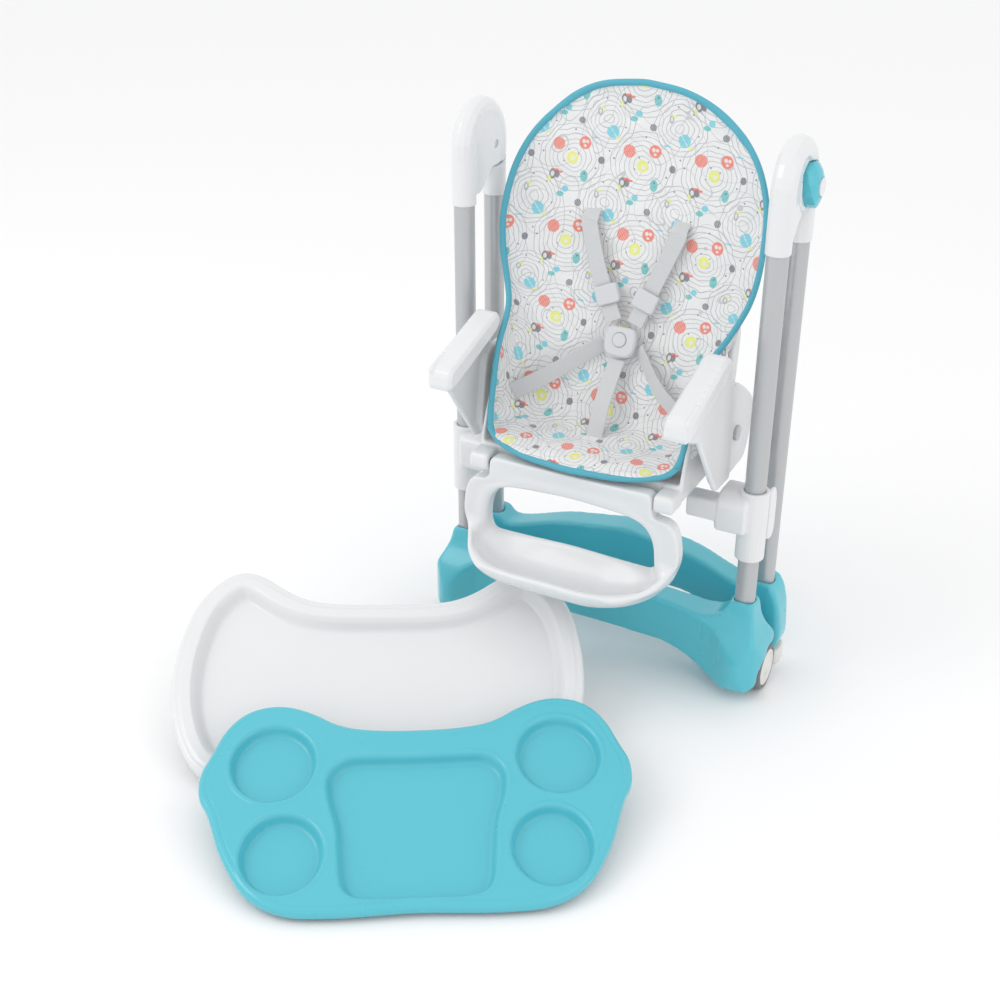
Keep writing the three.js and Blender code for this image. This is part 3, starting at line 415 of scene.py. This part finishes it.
def reach_around(outline, angles):
    """How far a closed outline lies from the footrest's middle in each direction."""
    places = evenly(np.asarray(outline, float), 4000) - FOOT_MIDDLE
    heading = np.arctan2(places[:, 1], places[:, 0])
    order = np.argsort(heading)
    return np.interp(angles, heading[order], np.linalg.norm(places, axis=1)[order], period=2 * np.pi)


foot_turn = np.linspace(-np.pi, np.pi, 520, endpoint=False)
heading = np.stack([np.cos(foot_turn), np.sin(foot_turn)], -1)
foot_edge = FOOT_MIDDLE + heading * reach_around(rounded(both_halves(FOOT_HALF), 14), foot_turn)[:, None]
window_edge = FOOT_MIDDLE + heading * reach_around(rounded(both_halves(WINDOW_HALF), 24), foot_turn)[:, None]
ledge = eased((266 - foot_edge[:, 1]) / 66)[:, None]
share = ledge * LEDGE_SECTION[:, 0] + (1 - ledge) * FRAME_SECTION[:, 0]
flat = window_edge[:, None] + share[..., None] * (foot_edge - window_edge)[:, None]
plan = np.sqrt(1 - np.minimum(np.abs(flat[..., 0]) / 181, 1) ** 4)
depth = ledge * (-105 + (LEDGE_SECTION[:, 1] + 105) * plan) + (1 - ledge) * FRAME_SECTION[:, 1]
section = np.stack([flat[..., 0], depth, flat[..., 1]], -1)
for _ in range(3):
    onward = np.roll(section, -1, 1)
    section = np.stack([0.75 * section + 0.25 * onward, 0.25 * section + 0.75 * onward], 2).reshape(len(section), -1, 3)
footrest = made("footrest_moulding", surface(chair(section), close_rows=True, close_columns=True), white_gloss, 80)
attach(footrest, "footrest")
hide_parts("footrest")


# ---------- the two trays ----------
# The white serving tray and the turquoise insert tray, vacuum-thin mouldings that lie tilted in front of the chair.
TRAY_WALL = 3


def inside_distance(points, outline):
    """How far each point lies inside a closed outline: distance to its nearest edge, negative outside."""
    start, end = outline, np.roll(outline, -1, 0)
    edge = end - start
    offset = points[:, None] - start
    share = np.clip((offset * edge).sum(-1) / np.maximum((edge ** 2).sum(-1), 1e-9), 0, 1)
    distance = np.linalg.norm(offset - share[..., None] * edge, axis=-1).min(1)
    above = (start[:, 1] > points[:, None, 1]) != (end[:, 1] > points[:, None, 1])
    rise = np.where(np.abs(edge[:, 1]) < 1e-9, 1e-9, edge[:, 1])
    crossing = start[:, 0] + (points[:, None, 1] - start[:, 1]) / rise * edge[:, 0]
    inside = ((above & (points[:, None, 0] < crossing)).sum(1) % 2) == 1
    return np.where(inside, distance, -distance)


def tray_mesh(outline, height, skirt, spine, front, tilt, turn, count=440, rings=84):
    """A tray: rings from its outline in to a spine, at the height given for each point, with a skirt turned down
    outside them, then tilted, turned and moved to its front edge. The walls are thickened downwards."""
    rim = evenly(outline, count)
    core = np.stack([np.clip(rim[:, 0], -spine[0], spine[0]), np.full(count, spine[1])], -1)
    share = np.linspace(0, 1, rings)[:, None, None] ** 0.9
    flat = core + (rim - core) * (1 - share)
    flat = flat.reshape(-1, 2)
    top = np.column_stack([flat, height(flat, inside_distance(flat, rim))]).reshape(rings, count, 3)
    tangent = np.roll(rim, -1, 0) - np.roll(rim, 1, 0)
    outward = np.stack([tangent[:, 1], -tangent[:, 0]], -1)
    outward /= np.linalg.norm(outward, axis=1)[:, None]
    folds = []
    for out, drop in skirt:
        folds.append(np.column_stack([rim + outward * out, top[0, :, 2] - drop]))
    grid = np.concatenate([np.array(folds)[::-1], top])
    lean, turn = math.radians(tilt), math.radians(turn)
    tipped = np.stack([grid[..., 0], grid[..., 1] * math.cos(lean) - grid[..., 2] * math.sin(lean),
                       grid[..., 1] * math.sin(lean) + grid[..., 2] * math.cos(lean)], -1)
    turned = np.stack([tipped[..., 0] * math.cos(turn) - tipped[..., 1] * math.sin(turn),
                       tipped[..., 0] * math.sin(turn) + tipped[..., 1] * math.cos(turn), tipped[..., 2]], -1)
    mesh = surface(chair(turned + np.array(front)), close_columns=True)
    thing = bpy.data.objects.new("work", mesh)
    bpy.context.collection.objects.link(thing)
    wall = thing.modifiers.new("wall", "SOLIDIFY")
    wall.thickness = TRAY_WALL / 1000
    wall.offset = -1
    return applied(thing)


SERVING_HALF = [(0, 0), (180, 2), (256, 28), (292, 90), (310, 170), (307, 250), (288, 330), (240, 384), (196, 382),
                (140, 338), (90, 322), (0, 321)]
serving_outline = rounded(both_halves(SERVING_HALF), 60)


def serving_height(flat, inside):
    """A rounded rim, a raised step inside it, and a dish 18 mm deep with a soft wall."""
    edge = -3.0 * (1 - eased(inside / 5)) ** 2
    step = 2.2 * eased((inside - 10) / 2.2) * (1 - eased((inside - 27) / 3))
    dish = -18 * eased((inside - 28) / 16)
    return edge + step + dish


serving = made("serving_tray_moulding",
               tray_mesh(serving_outline, serving_height, [(0.8, 2.2), (1.2, 8), (0.4, 22)], (190, 175),
                         front=(-109, -526, 24.4), tilt=22.5, turn=28.6),
               white_gloss, 60)
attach(serving, "serving_tray")
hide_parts("serving_tray")
for side, sign in SIDES:
    latch = made(f"tray_latch_grip_{side}", softened(copied(f"tray_latch_{side}"), 1.0, 5), white_gloss, 80)
    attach(latch, f"tray_latch_{side}")
    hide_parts(f"tray_latch_{side}")

INSERT_HALF = [(0, 14), (100, 9), (176, 12), (226, 42), (262, 106), (284, 176), (299, 198), (300, 238),
               (288, 264), (272, 312), (242, 346), (196, 356), (150, 340), (110, 312), (60, 303), (0, 301)]
PLATE_HALF = [(0, 27), (80, 27), (102, 44), (107, 92), (110, 140), (126, 196), (126, 232), (100, 258), (0, 256)]
CUPS = ((200, 250, 61, 67), (180, 101, 57, 64))
insert_outline = rounded(both_halves(INSERT_HALF), 30)
plate_outline = rounded(both_halves(PLATE_HALF), 20)


def insert_height(flat, inside):
    """A flat top with a rounded rim, four round cup wells and one plate well, each behind a low soft lip."""
    height = -2.6 * (1 - eased(inside / 5)) ** 2 - 0.7 * np.exp(-((inside - 10) / 1.3) ** 2)
    wells = [inside_distance(flat, plate_outline)]
    for across, along, wide, deep in CUPS:
        for sign in (-1, 1):
            reach = np.hypot((flat[:, 0] - sign * across) / wide, (flat[:, 1] - along) / deep)
            wells.append((1 - reach) * (wide + deep) / 2)
    for well in wells:
        height += -15 * eased(well / 9.5) + 1.1 * np.exp(-((well + 3.0) / 2.0) ** 2)
    return height


insert = made("insert_tray_moulding",
              tray_mesh(insert_outline, insert_height, [(0.9, 1.8), (1.4, 5), (1.2, 9.4)], (205, 165),
                        front=(72, -699, 16.6), tilt=14, turn=31.3),
              turquoise_gloss, 60)
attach(insert, "insert_tray")
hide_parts("insert_tray")


# ---------- the padded seat cover ----------
# One quilted cover of printed cotton over thin foam, from the top of the back to the front of the seat, its edge
# bound in turquoise tape. Its shape turns from the back down to the seat at the backrest's pivot.
RECLINE = (36, 418)
BACK_LEAN = math.radians(13.5)
HOLLOW_DEEP, HOLLOW_UP, PAD_FRONT, BACK_POLE = 300, 508, -9, 210


def up_the_back(up):
    """The middle of the cover at a height up the back: an ellipse hollowed towards the back, leaning with it."""
    depth = PAD_FRONT - HOLLOW_DEEP + HOLLOW_DEEP * math.sqrt(1 - ((up - BACK_POLE) / HOLLOW_UP) ** 2)
    return (RECLINE[0] + depth * math.cos(BACK_LEAN) + up * math.sin(BACK_LEAN),
            RECLINE[1] - depth * math.sin(BACK_LEAN) + up * math.cos(BACK_LEAN))


# each row: the cover's middle (y, z), its bound edge on the right (x, y, z), and how boxy the section between is
COVER_ROWS = [
    (up_the_back(487), (0, *up_the_back(487)), 2.0), (up_the_back(478), (62, 93, 897), 2.0),
    (up_the_back(462), (108, 97, 877), 2.0), (up_the_back(438), (146, 99, 847), 2.0),
    (up_the_back(408), (173, 91, 818), 2.0), (up_the_back(372), (192, 81, 785), 2.0),
    (up_the_back(332), (204, 70, 748), 2.0), (up_the_back(288), (209, 54, 699), 2.0),
    (up_the_back(245), (207, 46, 655), 2.0), (up_the_back(200), (200, 40, 620), 2.1),
    (up_the_back(155), (190, 31, 594), 2.3), (up_the_back(110), (178, 14, 568), 2.6),
    (up_the_back(66), (169, -14, 549), 3.0), (up_the_back(30), (165, -42, 523), 3.6),
    ((0, 414), (162, -60, 492), 4.4), ((-34, 400), (160, -73, 455), 5.0), ((-76, 398.5), (157, -85, 415), 5.0),
    ((-110, 396), (142, -97, 391), 4.0), ((-130, 391), (88, -123, 384), 3.0), ((-138, 385), (0, -138, 384), 2.0),
]


def smooth_through(points, count):
    """Catmull-Rom curves through the points, each with the same number of steps, as `count` rows."""
    points = np.asarray(points, float)
    padded = np.vstack([2 * points[0] - points[1], points, 2 * points[-1] - points[-2]])
    place = np.linspace(0, len(points) - 1, count)
    first = np.minimum(place.astype(int), len(points) - 2)
    t = (place - first)[:, None]
    a, b, c, d = (padded[first + k] for k in range(4))
    return 0.5 * (2 * b + (c - a) * t + (2 * a - 5 * b + 4 * c - d) * t ** 2 + (3 * b - a - 3 * c + d) * t ** 3)


COVER_DOWN = 280
COVER_HALF = 78
middle_line = smooth_through([middle for middle, _, _ in COVER_ROWS], COVER_DOWN)
edge_line = smooth_through([edge for _, edge, _ in COVER_ROWS], COVER_DOWN)
boxy = smooth_through([(power,) for _, _, power in COVER_ROWS], COVER_DOWN)
quarter = np.linspace(0, np.pi / 2, COVER_HALF)[None]
outwards = np.sin(quarter) ** (2 / boxy)
rising = 1 - np.cos(quarter) ** (2 / boxy)
half_cover = np.stack([edge_line[:, :1] * outwards,
                       middle_line[:, :1] + (edge_line[:, 1:2] - middle_line[:, :1]) * rising,
                       middle_line[:, 1:] + (edge_line[:, 2:] - middle_line[:, 1:]) * rising], -1)
front = np.concatenate([half_cover[:, :0:-1] * (-1, 1, 1), half_cover], 1)


def face_normals(grid):
    """The unit normal at each place of a grid, from the differences along its rows and columns."""
    across = np.gradient(grid, axis=1)
    down = np.gradient(grid, axis=0)
    normal = np.cross(down, across)
    length = np.linalg.norm(normal, axis=-1, keepdims=True)
    return normal / np.maximum(length, 1e-9)


step_across = np.linalg.norm(np.diff(front, axis=1), axis=-1)
across_run = np.concatenate([np.zeros((COVER_DOWN, 1)), np.cumsum(step_across, 1)], 1)
across_run -= across_run[:, COVER_HALF - 1:COVER_HALF]
step_down = np.linalg.norm(np.diff(middle_line, axis=0), axis=-1)
down_run = np.broadcast_to(np.concatenate([[0], np.cumsum(step_down)])[:, None], across_run.shape)
cloth_uv = np.stack([across_run, -down_run], -1) / 1000

waves = np.random.default_rng(7)
puff = np.zeros_like(across_run)
for _ in range(26):
    length = waves.uniform(22, 90)
    heading = waves.uniform(0, np.pi)
    phase = waves.uniform(0, 2 * np.pi)
    run = across_run * np.cos(heading) + down_run * np.sin(heading)
    puff += length / 90 * np.sin(2 * np.pi * run / length + phase)
from_edge = np.minimum(np.abs(across_run - across_run[:, :1]), np.abs(across_run - across_run[:, -1:]))
from_edge = np.minimum(from_edge, np.minimum(down_run, down_run[-1] - down_run))
normal = face_normals(front)
front = front + normal * (0.45 * puff * eased(from_edge / 30))[..., None]
thick = 3 + 11 * eased(from_edge / 40)
behind = front - normal * thick[..., None]
closed_cover = np.concatenate([front, behind[:, ::-1]], 1)
closed_uv = np.concatenate([cloth_uv, cloth_uv[:, ::-1]], 1)
closed_uv = np.concatenate([closed_uv, closed_uv[:, :1]], 1)

REPEAT = (0.113, 0.124)
INK = {"coral": (0.83, 0.19, 0.13), "yellow": (0.80, 0.83, 0.20), "sky": (0.18, 0.60, 0.72), "sea": (0.07, 0.50, 0.50),
       "slate": (0.20, 0.20, 0.23), "grey": (0.42, 0.42, 0.45)}
# each mark: place from its orbit centre in millimetres, half sizes in parts of which 880 make a metre, ink, and
# stripes across it
MARK_UNITS = 880
FIRST_MARKS = (
    (0, 0, 8, 8, "yellow", 0), (1, -1, 3, 3, None, 0), (-22, 20, 8.5, 8.5, "coral", 3),
    (19, 24, 8.5, 8.5, "coral", 0), (16.5, 26, 2.6, 2.8, None, 0), (22.5, 26, 2.3, 2.3, None, 0),
    (19, 19.5, 2.2, 1.8, None, 0), (20, -26, 5.4, 8, "sea", 3), (-9, -48, 4.6, 4.2, "sky", 0),
    (-31, -28, 4.6, 7, "slate", 0), (-31, -28, 2.6, 3.6, None, 0), (-25, -22, 4, 2, "coral", 0),
    (-35, -35, 2, 3.4, "yellow", 0), (-6, 12, 1.1, 1.1, "slate", 0), (9, 7, 1.0, 1.0, "slate", 0),
    (-13, -6, 1.0, 1.0, "slate", 0), (47, 1, 4.4, 5, "slate", 0), (38, -12, 1.3, 1.3, "slate", 0),
    (-47, 6, 1.3, 1.3, "slate", 0), (3, 43, 1.2, 1.2, "slate", 0), (-40, 36, 3.8, 1.5, "yellow", 0),
)
SECOND_MARKS = (
    (7, -17, 8.6, 8.6, "sky", 1), (-14, 12, 3.4, 5.6, "grey", 0), (-10, 17, 3.6, 1.6, "yellow", 0),
    (-14, 12, 1.6, 3, None, 0), (-43, -4, 4.8, 4.8, "slate", 2), (40, 6, 5.2, 3.4, "sea", 2),
    (-20, -28, 5, 1.1, "sky", 0), (18, 22, 1.1, 1.1, "slate", 0), (28, -8, 1.1, 1.1, "slate", 0),
    (-4, 31, 1.2, 1.2, "slate", 0), (33, 34, 3.6, 5, "slate", 0), (38, 38, 3.4, 1.6, "coral", 0),
    (-36, 40, 1.4, 1.4, "slate", 0), (2, -46, 1.2, 1.2, "slate", 0),
)


def mark_effect():
    """How much one oval mark covers: 1 inside its edge, 0 outside, with stripes where asked for."""
    tree, given, result = effect(
        "printed_mark",
        [("Place", "NodeSocketVector", None), ("Centre", "NodeSocketVector", (0, 0, 0)),
         ("Half size", "NodeSocketVector", (1, 1, 1)), ("Stripes", "NodeSocketFloat", 0.0)],
        [("Cover", "NodeSocketFloat")])
    away = node(tree, "ShaderNodeVectorMath", {0: given.outputs["Place"], 1: given.outputs["Centre"]},
                operation="SUBTRACT")
    share = node(tree, "ShaderNodeVectorMath", {0: away.outputs[0], 1: given.outputs["Half size"]}, operation="DIVIDE")
    reach = node(tree, "ShaderNodeVectorMath", {0: share.outputs[0]}, operation="LENGTH")
    inside = node(tree, "ShaderNodeMapRange", {"Value": reach.outputs["Value"], "From Min": 1.06, "From Max": 0.94})
    slant = node(tree, "ShaderNodeVectorMath", {0: share.outputs[0], 1: (0.8, 0.6, 0)}, operation="DOT_PRODUCT")
    often = maths(tree, "MULTIPLY", given.outputs["Stripes"], 3.1)
    wave = maths(tree, "SINE", maths(tree, "MULTIPLY", slant.outputs["Value"], often))
    wide = maths(tree, "LESS_THAN", maths(tree, "ABSOLUTE", wave), 0.24)
    bars = maths(tree, "MULTIPLY", wide, maths(tree, "GREATER_THAN", given.outputs["Stripes"], 0.5))
    between = maths(tree, "SUBTRACT", 1.0, maths(tree, "MULTIPLY", bars, 0.75))
    cover = maths(tree, "MULTIPLY", inside.outputs[0], between)
    tree.links.new(cover, result.inputs["Cover"])
    return tree


def print_effect():
    """Orbit rings and small planets on two lattices, half a repeat apart, over off-white: place to colour."""
    tree, given, result = effect("orbit_print", [("Place", "NodeSocketVector", None)], [("Colour", "NodeSocketColor")])
    mark = mark_effect()
    wobble = node(tree, "ShaderNodeTexNoise", {"Vector": given.outputs["Place"], "Scale": 38.0, "Detail": 1.0})
    shift = node(tree, "ShaderNodeVectorMath", {0: wobble.outputs["Color"], 1: (0.5, 0.5, 0.5)}, operation="SUBTRACT")
    drawn = node(tree, "ShaderNodeVectorMath", {0: shift.outputs[0], 1: (0.012, 0.012, 0), 2: given.outputs["Place"]},
                 operation="MULTIPLY_ADD")
    cells = []
    for source in (given.outputs["Place"], drawn.outputs[0]):
        for half in (0.0, 0.5):
            scaled = node(tree, "ShaderNodeVectorMath",
                          {0: source, 1: (1 / REPEAT[0], 1 / REPEAT[1], 0), 2: (half + 0.5, half + 0.5, 0)},
                          operation="MULTIPLY_ADD")
            part = node(tree, "ShaderNodeVectorMath", {0: scaled.outputs[0]}, operation="FRACTION")
            centred = node(tree, "ShaderNodeVectorMath", {0: part.outputs[0], 1: (0.5, 0.5, 0)}, operation="SUBTRACT")
            cell = node(tree, "ShaderNodeVectorMath", {0: centred.outputs[0], 1: (*REPEAT, 0)}, operation="MULTIPLY")
            cells.append(cell.outputs[0])
    lines = None
    for cell, pitch, last in ((cells[2], 0.0074, 0.054), (cells[3], 0.0068, 0.047)):
        reach = node(tree, "ShaderNodeVectorMath", {0: cell}, operation="LENGTH").outputs["Value"]
        turn = maths(tree, "PINGPONG", reach, pitch / 2)
        line = node(tree, "ShaderNodeMapRange", {"Value": turn, "From Min": 0.00072, "From Max": 0.00034}).outputs[0]
        line = maths(tree, "MULTIPLY", line, maths(tree, "LESS_THAN", reach, last))
        line = maths(tree, "MULTIPLY", line, maths(tree, "GREATER_THAN", reach, 0.006))
        lines = line if lines is None else maths(tree, "MAXIMUM", lines, line)
    flow = node(tree, "ShaderNodeTexNoise", {"Vector": given.outputs["Place"], "Scale": 11.0, "Detail": 0.0})
    contour = maths(tree, "PINGPONG", maths(tree, "MULTIPLY", flow.outputs["Fac"], 11.0), 0.5)
    stream = node(tree, "ShaderNodeMapRange", {"Value": contour, "From Min": 0.035, "From Max": 0.012}).outputs[0]
    lines = maths(tree, "MAXIMUM", lines, maths(tree, "MULTIPLY", stream, 0.8))
    strength = maths(tree, "MULTIPLY", lines, 0.8)
    colour = node(tree, "ShaderNodeMix", {"Factor": strength, 6: (0.81, 0.81, 0.81, 1), 7: (*INK["grey"], 1)},
                  data_type="RGBA").outputs[2]
    for cell, marks in ((cells[0], FIRST_MARKS), (cells[1], SECOND_MARKS)):
        for x, y, wide, high, ink, stripes in marks:
            spot = node(tree, "ShaderNodeGroup", {}, node_tree=mark)
            tree.links.new(cell, spot.inputs["Place"])
            spot.inputs["Centre"].default_value = (x / 1000, y / 1000, 0)
            spot.inputs["Half size"].default_value = (wide / MARK_UNITS, high / MARK_UNITS, 1)
            spot.inputs["Stripes"].default_value = stripes
            paint = (*INK[ink], 1) if ink else (0.80, 0.80, 0.80, 1)
            strength = maths(tree, "MULTIPLY", spot.outputs["Cover"], 0.86)
            colour = node(tree, "ShaderNodeMix", {"Factor": strength, 6: colour, 7: paint}, data_type="RGBA").outputs[2]
    tree.links.new(colour, result.inputs["Colour"])
    return tree


def weave_effect():
    """A plain weave of warp and weft threads on a piece's own UV map, in metres: height, and a shade for colour."""
    tree, given, result = effect(
        "plain_weave", [("Place", "NodeSocketVector", None), ("Pitch", "NodeSocketFloat", 0.0008)],
        [("Height", "NodeSocketFloat"), ("Shade", "NodeSocketFloat")])
    turns_per_metre = maths(tree, "DIVIDE", 6.283, given.outputs["Pitch"])
    turns = node(tree, "ShaderNodeVectorMath", {0: given.outputs["Place"], "Scale": turns_per_metre},
                 operation="SCALE")
    axes = node(tree, "ShaderNodeSeparateXYZ", {0: turns.outputs[0]})
    threads = maths(tree, "MULTIPLY", maths(tree, "SINE", axes.outputs[0]), maths(tree, "SINE", axes.outputs[1]))
    slub = node(tree, "ShaderNodeTexNoise", {"Vector": given.outputs["Place"], "Scale": 240.0, "Detail": 2.0})
    height = maths(tree, "MULTIPLY_ADD", threads, 0.35, slub.outputs["Fac"])
    tree.links.new(height, result.inputs["Height"])
    tree.links.new(maths(tree, "MULTIPLY_ADD", slub.outputs["Fac"], 0.08, 0.96), result.inputs["Shade"])
    return tree


ORBIT_PRINT = print_effect()
PLAIN_WEAVE = weave_effect()


def woven_material(name, colour, pitch, relief, roughness, sheen):
    """A woven cloth on the piece's UV map; colour is a constant, or the printed pattern where it is None."""
    material, shader = node_material(name)
    tree = material.node_tree
    place = node(tree, "ShaderNodeTexCoord").outputs["UV"]
    weave = node(tree, "ShaderNodeGroup", {}, node_tree=PLAIN_WEAVE)
    tree.links.new(place, weave.inputs["Place"])
    weave.inputs["Pitch"].default_value = pitch
    if colour is None:
        pattern = node(tree, "ShaderNodeGroup", {}, node_tree=ORBIT_PRINT)
        tree.links.new(place, pattern.inputs["Place"])
        shown = node(tree, "ShaderNodeVectorMath", {0: pattern.outputs["Colour"], "Scale": weave.outputs["Shade"]},
                     operation="SCALE")
    else:
        shown = node(tree, "ShaderNodeVectorMath", {0: colour, "Scale": weave.outputs["Shade"]}, operation="SCALE")
    tree.links.new(shown.outputs[0], shader.inputs["Base Color"])
    bump = node(tree, "ShaderNodeBump", {"Strength": relief, "Distance": 0.0004, "Height": weave.outputs["Height"]})
    tree.links.new(bump.outputs[0], shader.inputs["Normal"])
    shader.inputs["Roughness"].default_value = roughness
    shader.inputs["Sheen Weight"].default_value = sheen
    shader.inputs["Specular IOR Level"].default_value = 0.3
    return material


cover_cloth = woven_material("printed_cotton", None, 0.0007, 0.35, 0.85, 0.15)
cover = made("seat_cover", surface(chair(closed_cover), close_columns=True, uv=closed_uv), cover_cloth, 70)
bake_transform(cover)
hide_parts("back_pad", "seat_pad")


def swept(path, section, across, closed=False):
    """A flat section of (across, out) pairs carried along a path, its first axis along `across` at each point.
    An open path is shut at both ends by a last ring drawn to its middle."""
    path, section = np.asarray(path, float), np.asarray(section, float)
    if closed:
        along = np.roll(path, -1, 0) - np.roll(path, 1, 0)
    else:
        along = np.gradient(path, axis=0)
    along /= np.linalg.norm(along, axis=1)[:, None]
    across = np.broadcast_to(np.asarray(across, float), path.shape)
    across = across - along * (across * along).sum(1)[:, None]
    across /= np.linalg.norm(across, axis=1)[:, None]
    out = np.cross(along, across)
    rings = path[:, None] + section[None, :, :1] * across[:, None] + section[None, :, 1:] * out[:, None]
    if closed:
        return surface(chair(rings), close_rows=True, close_columns=True)
    first, last = (np.repeat(rings[k].mean(0)[None], len(section), 0)[None] for k in (0, -1))
    rings = np.concatenate([first, rings, last])
    run = np.concatenate([[0, 0], np.cumsum(np.linalg.norm(np.diff(path, axis=0), axis=1)), [0]])
    run[-1] = run[-2]
    wide = np.append(section[:, 0], section[0, 0])
    uv = np.stack(np.broadcast_arrays(wide[None, :], run[:, None]), -1) / 1000
    return surface(chair(rings), close_columns=True, uv=uv)


tape_cloth = moulded_material("binding_tape", (0.10, 0.42, 0.53), 0.8, grain=1500.0, bump=0.5)
edge_right = front[1:-1, -1]
edge_left = front[1:-1, 0]
edge_loop = np.concatenate([edge_right, edge_left[::-1]])
inward = np.concatenate([front[1:-1, -6] - front[1:-1, -1], (front[1:-1, 5] - front[1:-1, 0])[::-1]])
inward /= np.linalg.norm(inward, axis=1)[:, None]
inward = evenly(edge_loop, 700, inward)
edge_loop = evenly(edge_loop, 700)
for _ in range(40):
    inward = (np.roll(inward, 1, 0) + 2 * inward + np.roll(inward, -1, 0)) / 4
    edge_loop = (np.roll(edge_loop, 1, 0) + 6 * edge_loop + np.roll(edge_loop, -1, 0)) / 8
turn = np.linspace(0, 2 * np.pi, 20, endpoint=False)
tape_section = np.stack([5.6 * np.cos(turn) + 1.4, 4.4 * np.sin(turn)], -1)
tape = made("cover_binding", swept(edge_loop, tape_section, inward, closed=True), tape_cloth, 70)
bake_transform(tape)


# ---------- the five-point harness ----------
# Flat grey webbing: two shoulder straps with sliding adjusters, two waist straps and a crotch strap, all held in
# one buckle with a round push button.
webbing = woven_material("grey_webbing", (0.60, 0.61, 0.62), 0.0026, 0.9, 0.75, 0.1)
WEB_HALF = 13
BUCKLE_X = 7
web_section = [(-WEB_HALF, -0.4), (-WEB_HALF + 0.6, -1), (WEB_HALF - 0.6, -1), (WEB_HALF, -0.4), (WEB_HALF, 0.4),
               (WEB_HALF - 0.6, 1), (-WEB_HALF + 0.6, 1), (-WEB_HALF, 0.4)]
buckle_grey = moulded_material("buckle_grey", (0.62, 0.63, 0.65), 0.42, grain=800.0, bump=0.06)
for side, sign in SIDES:
    shoulder = smooth_through([(sign * 73, 94, 712), (sign * 72, 78, 700), (sign * 70, 73, 686), (sign * 48, 60, 626),
                               (BUCKLE_X + sign * 17, 38, 558)], 60)
    strap = made(f"shoulder_web_{side}", swept(shoulder, web_section, (1, 0, 0)), webbing)
    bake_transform(strap)
    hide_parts(f"shoulder_strap_{side}")
    adjuster = made(f"strap_slider_{side}", softened(copied(f"strap_adjuster_{side}"), 0.7, 4), buckle_grey, 80)
    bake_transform(adjuster)
    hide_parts(f"strap_adjuster_{side}")
    waist = smooth_through([(BUCKLE_X + sign * 29, 31, 523), (sign * 84, -2, 478), (sign * 124, -16, 452),
                            (sign * 150, -22, 436)], 50)
    belt = made(f"waist_web_{side}", swept(waist, web_section, (0, 0, 1)), webbing)
    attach(belt, "seat")
    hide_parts(f"waist_strap_{side}")
crotch = smooth_through([(6, 19, 504), (2, -20, 450), (0, -42, 400), (0, -48, 386)], 40)
between = made("crotch_web", swept(crotch, web_section, (1, 0, 0)), webbing)
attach(between, "seat")
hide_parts("crotch_strap")
buckle = made("buckle_shell", softened(copied("buckle_body"), 0.7, 5), buckle_grey, 80)
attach(buckle, "seat")
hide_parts("buckle_body")
press = made("buckle_press", softened(copied("buckle_button"), 0.6, 4), buckle_grey, 80)
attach(press, "buckle_button")
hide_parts("buckle_button")

bpy.context.view_layer.update()
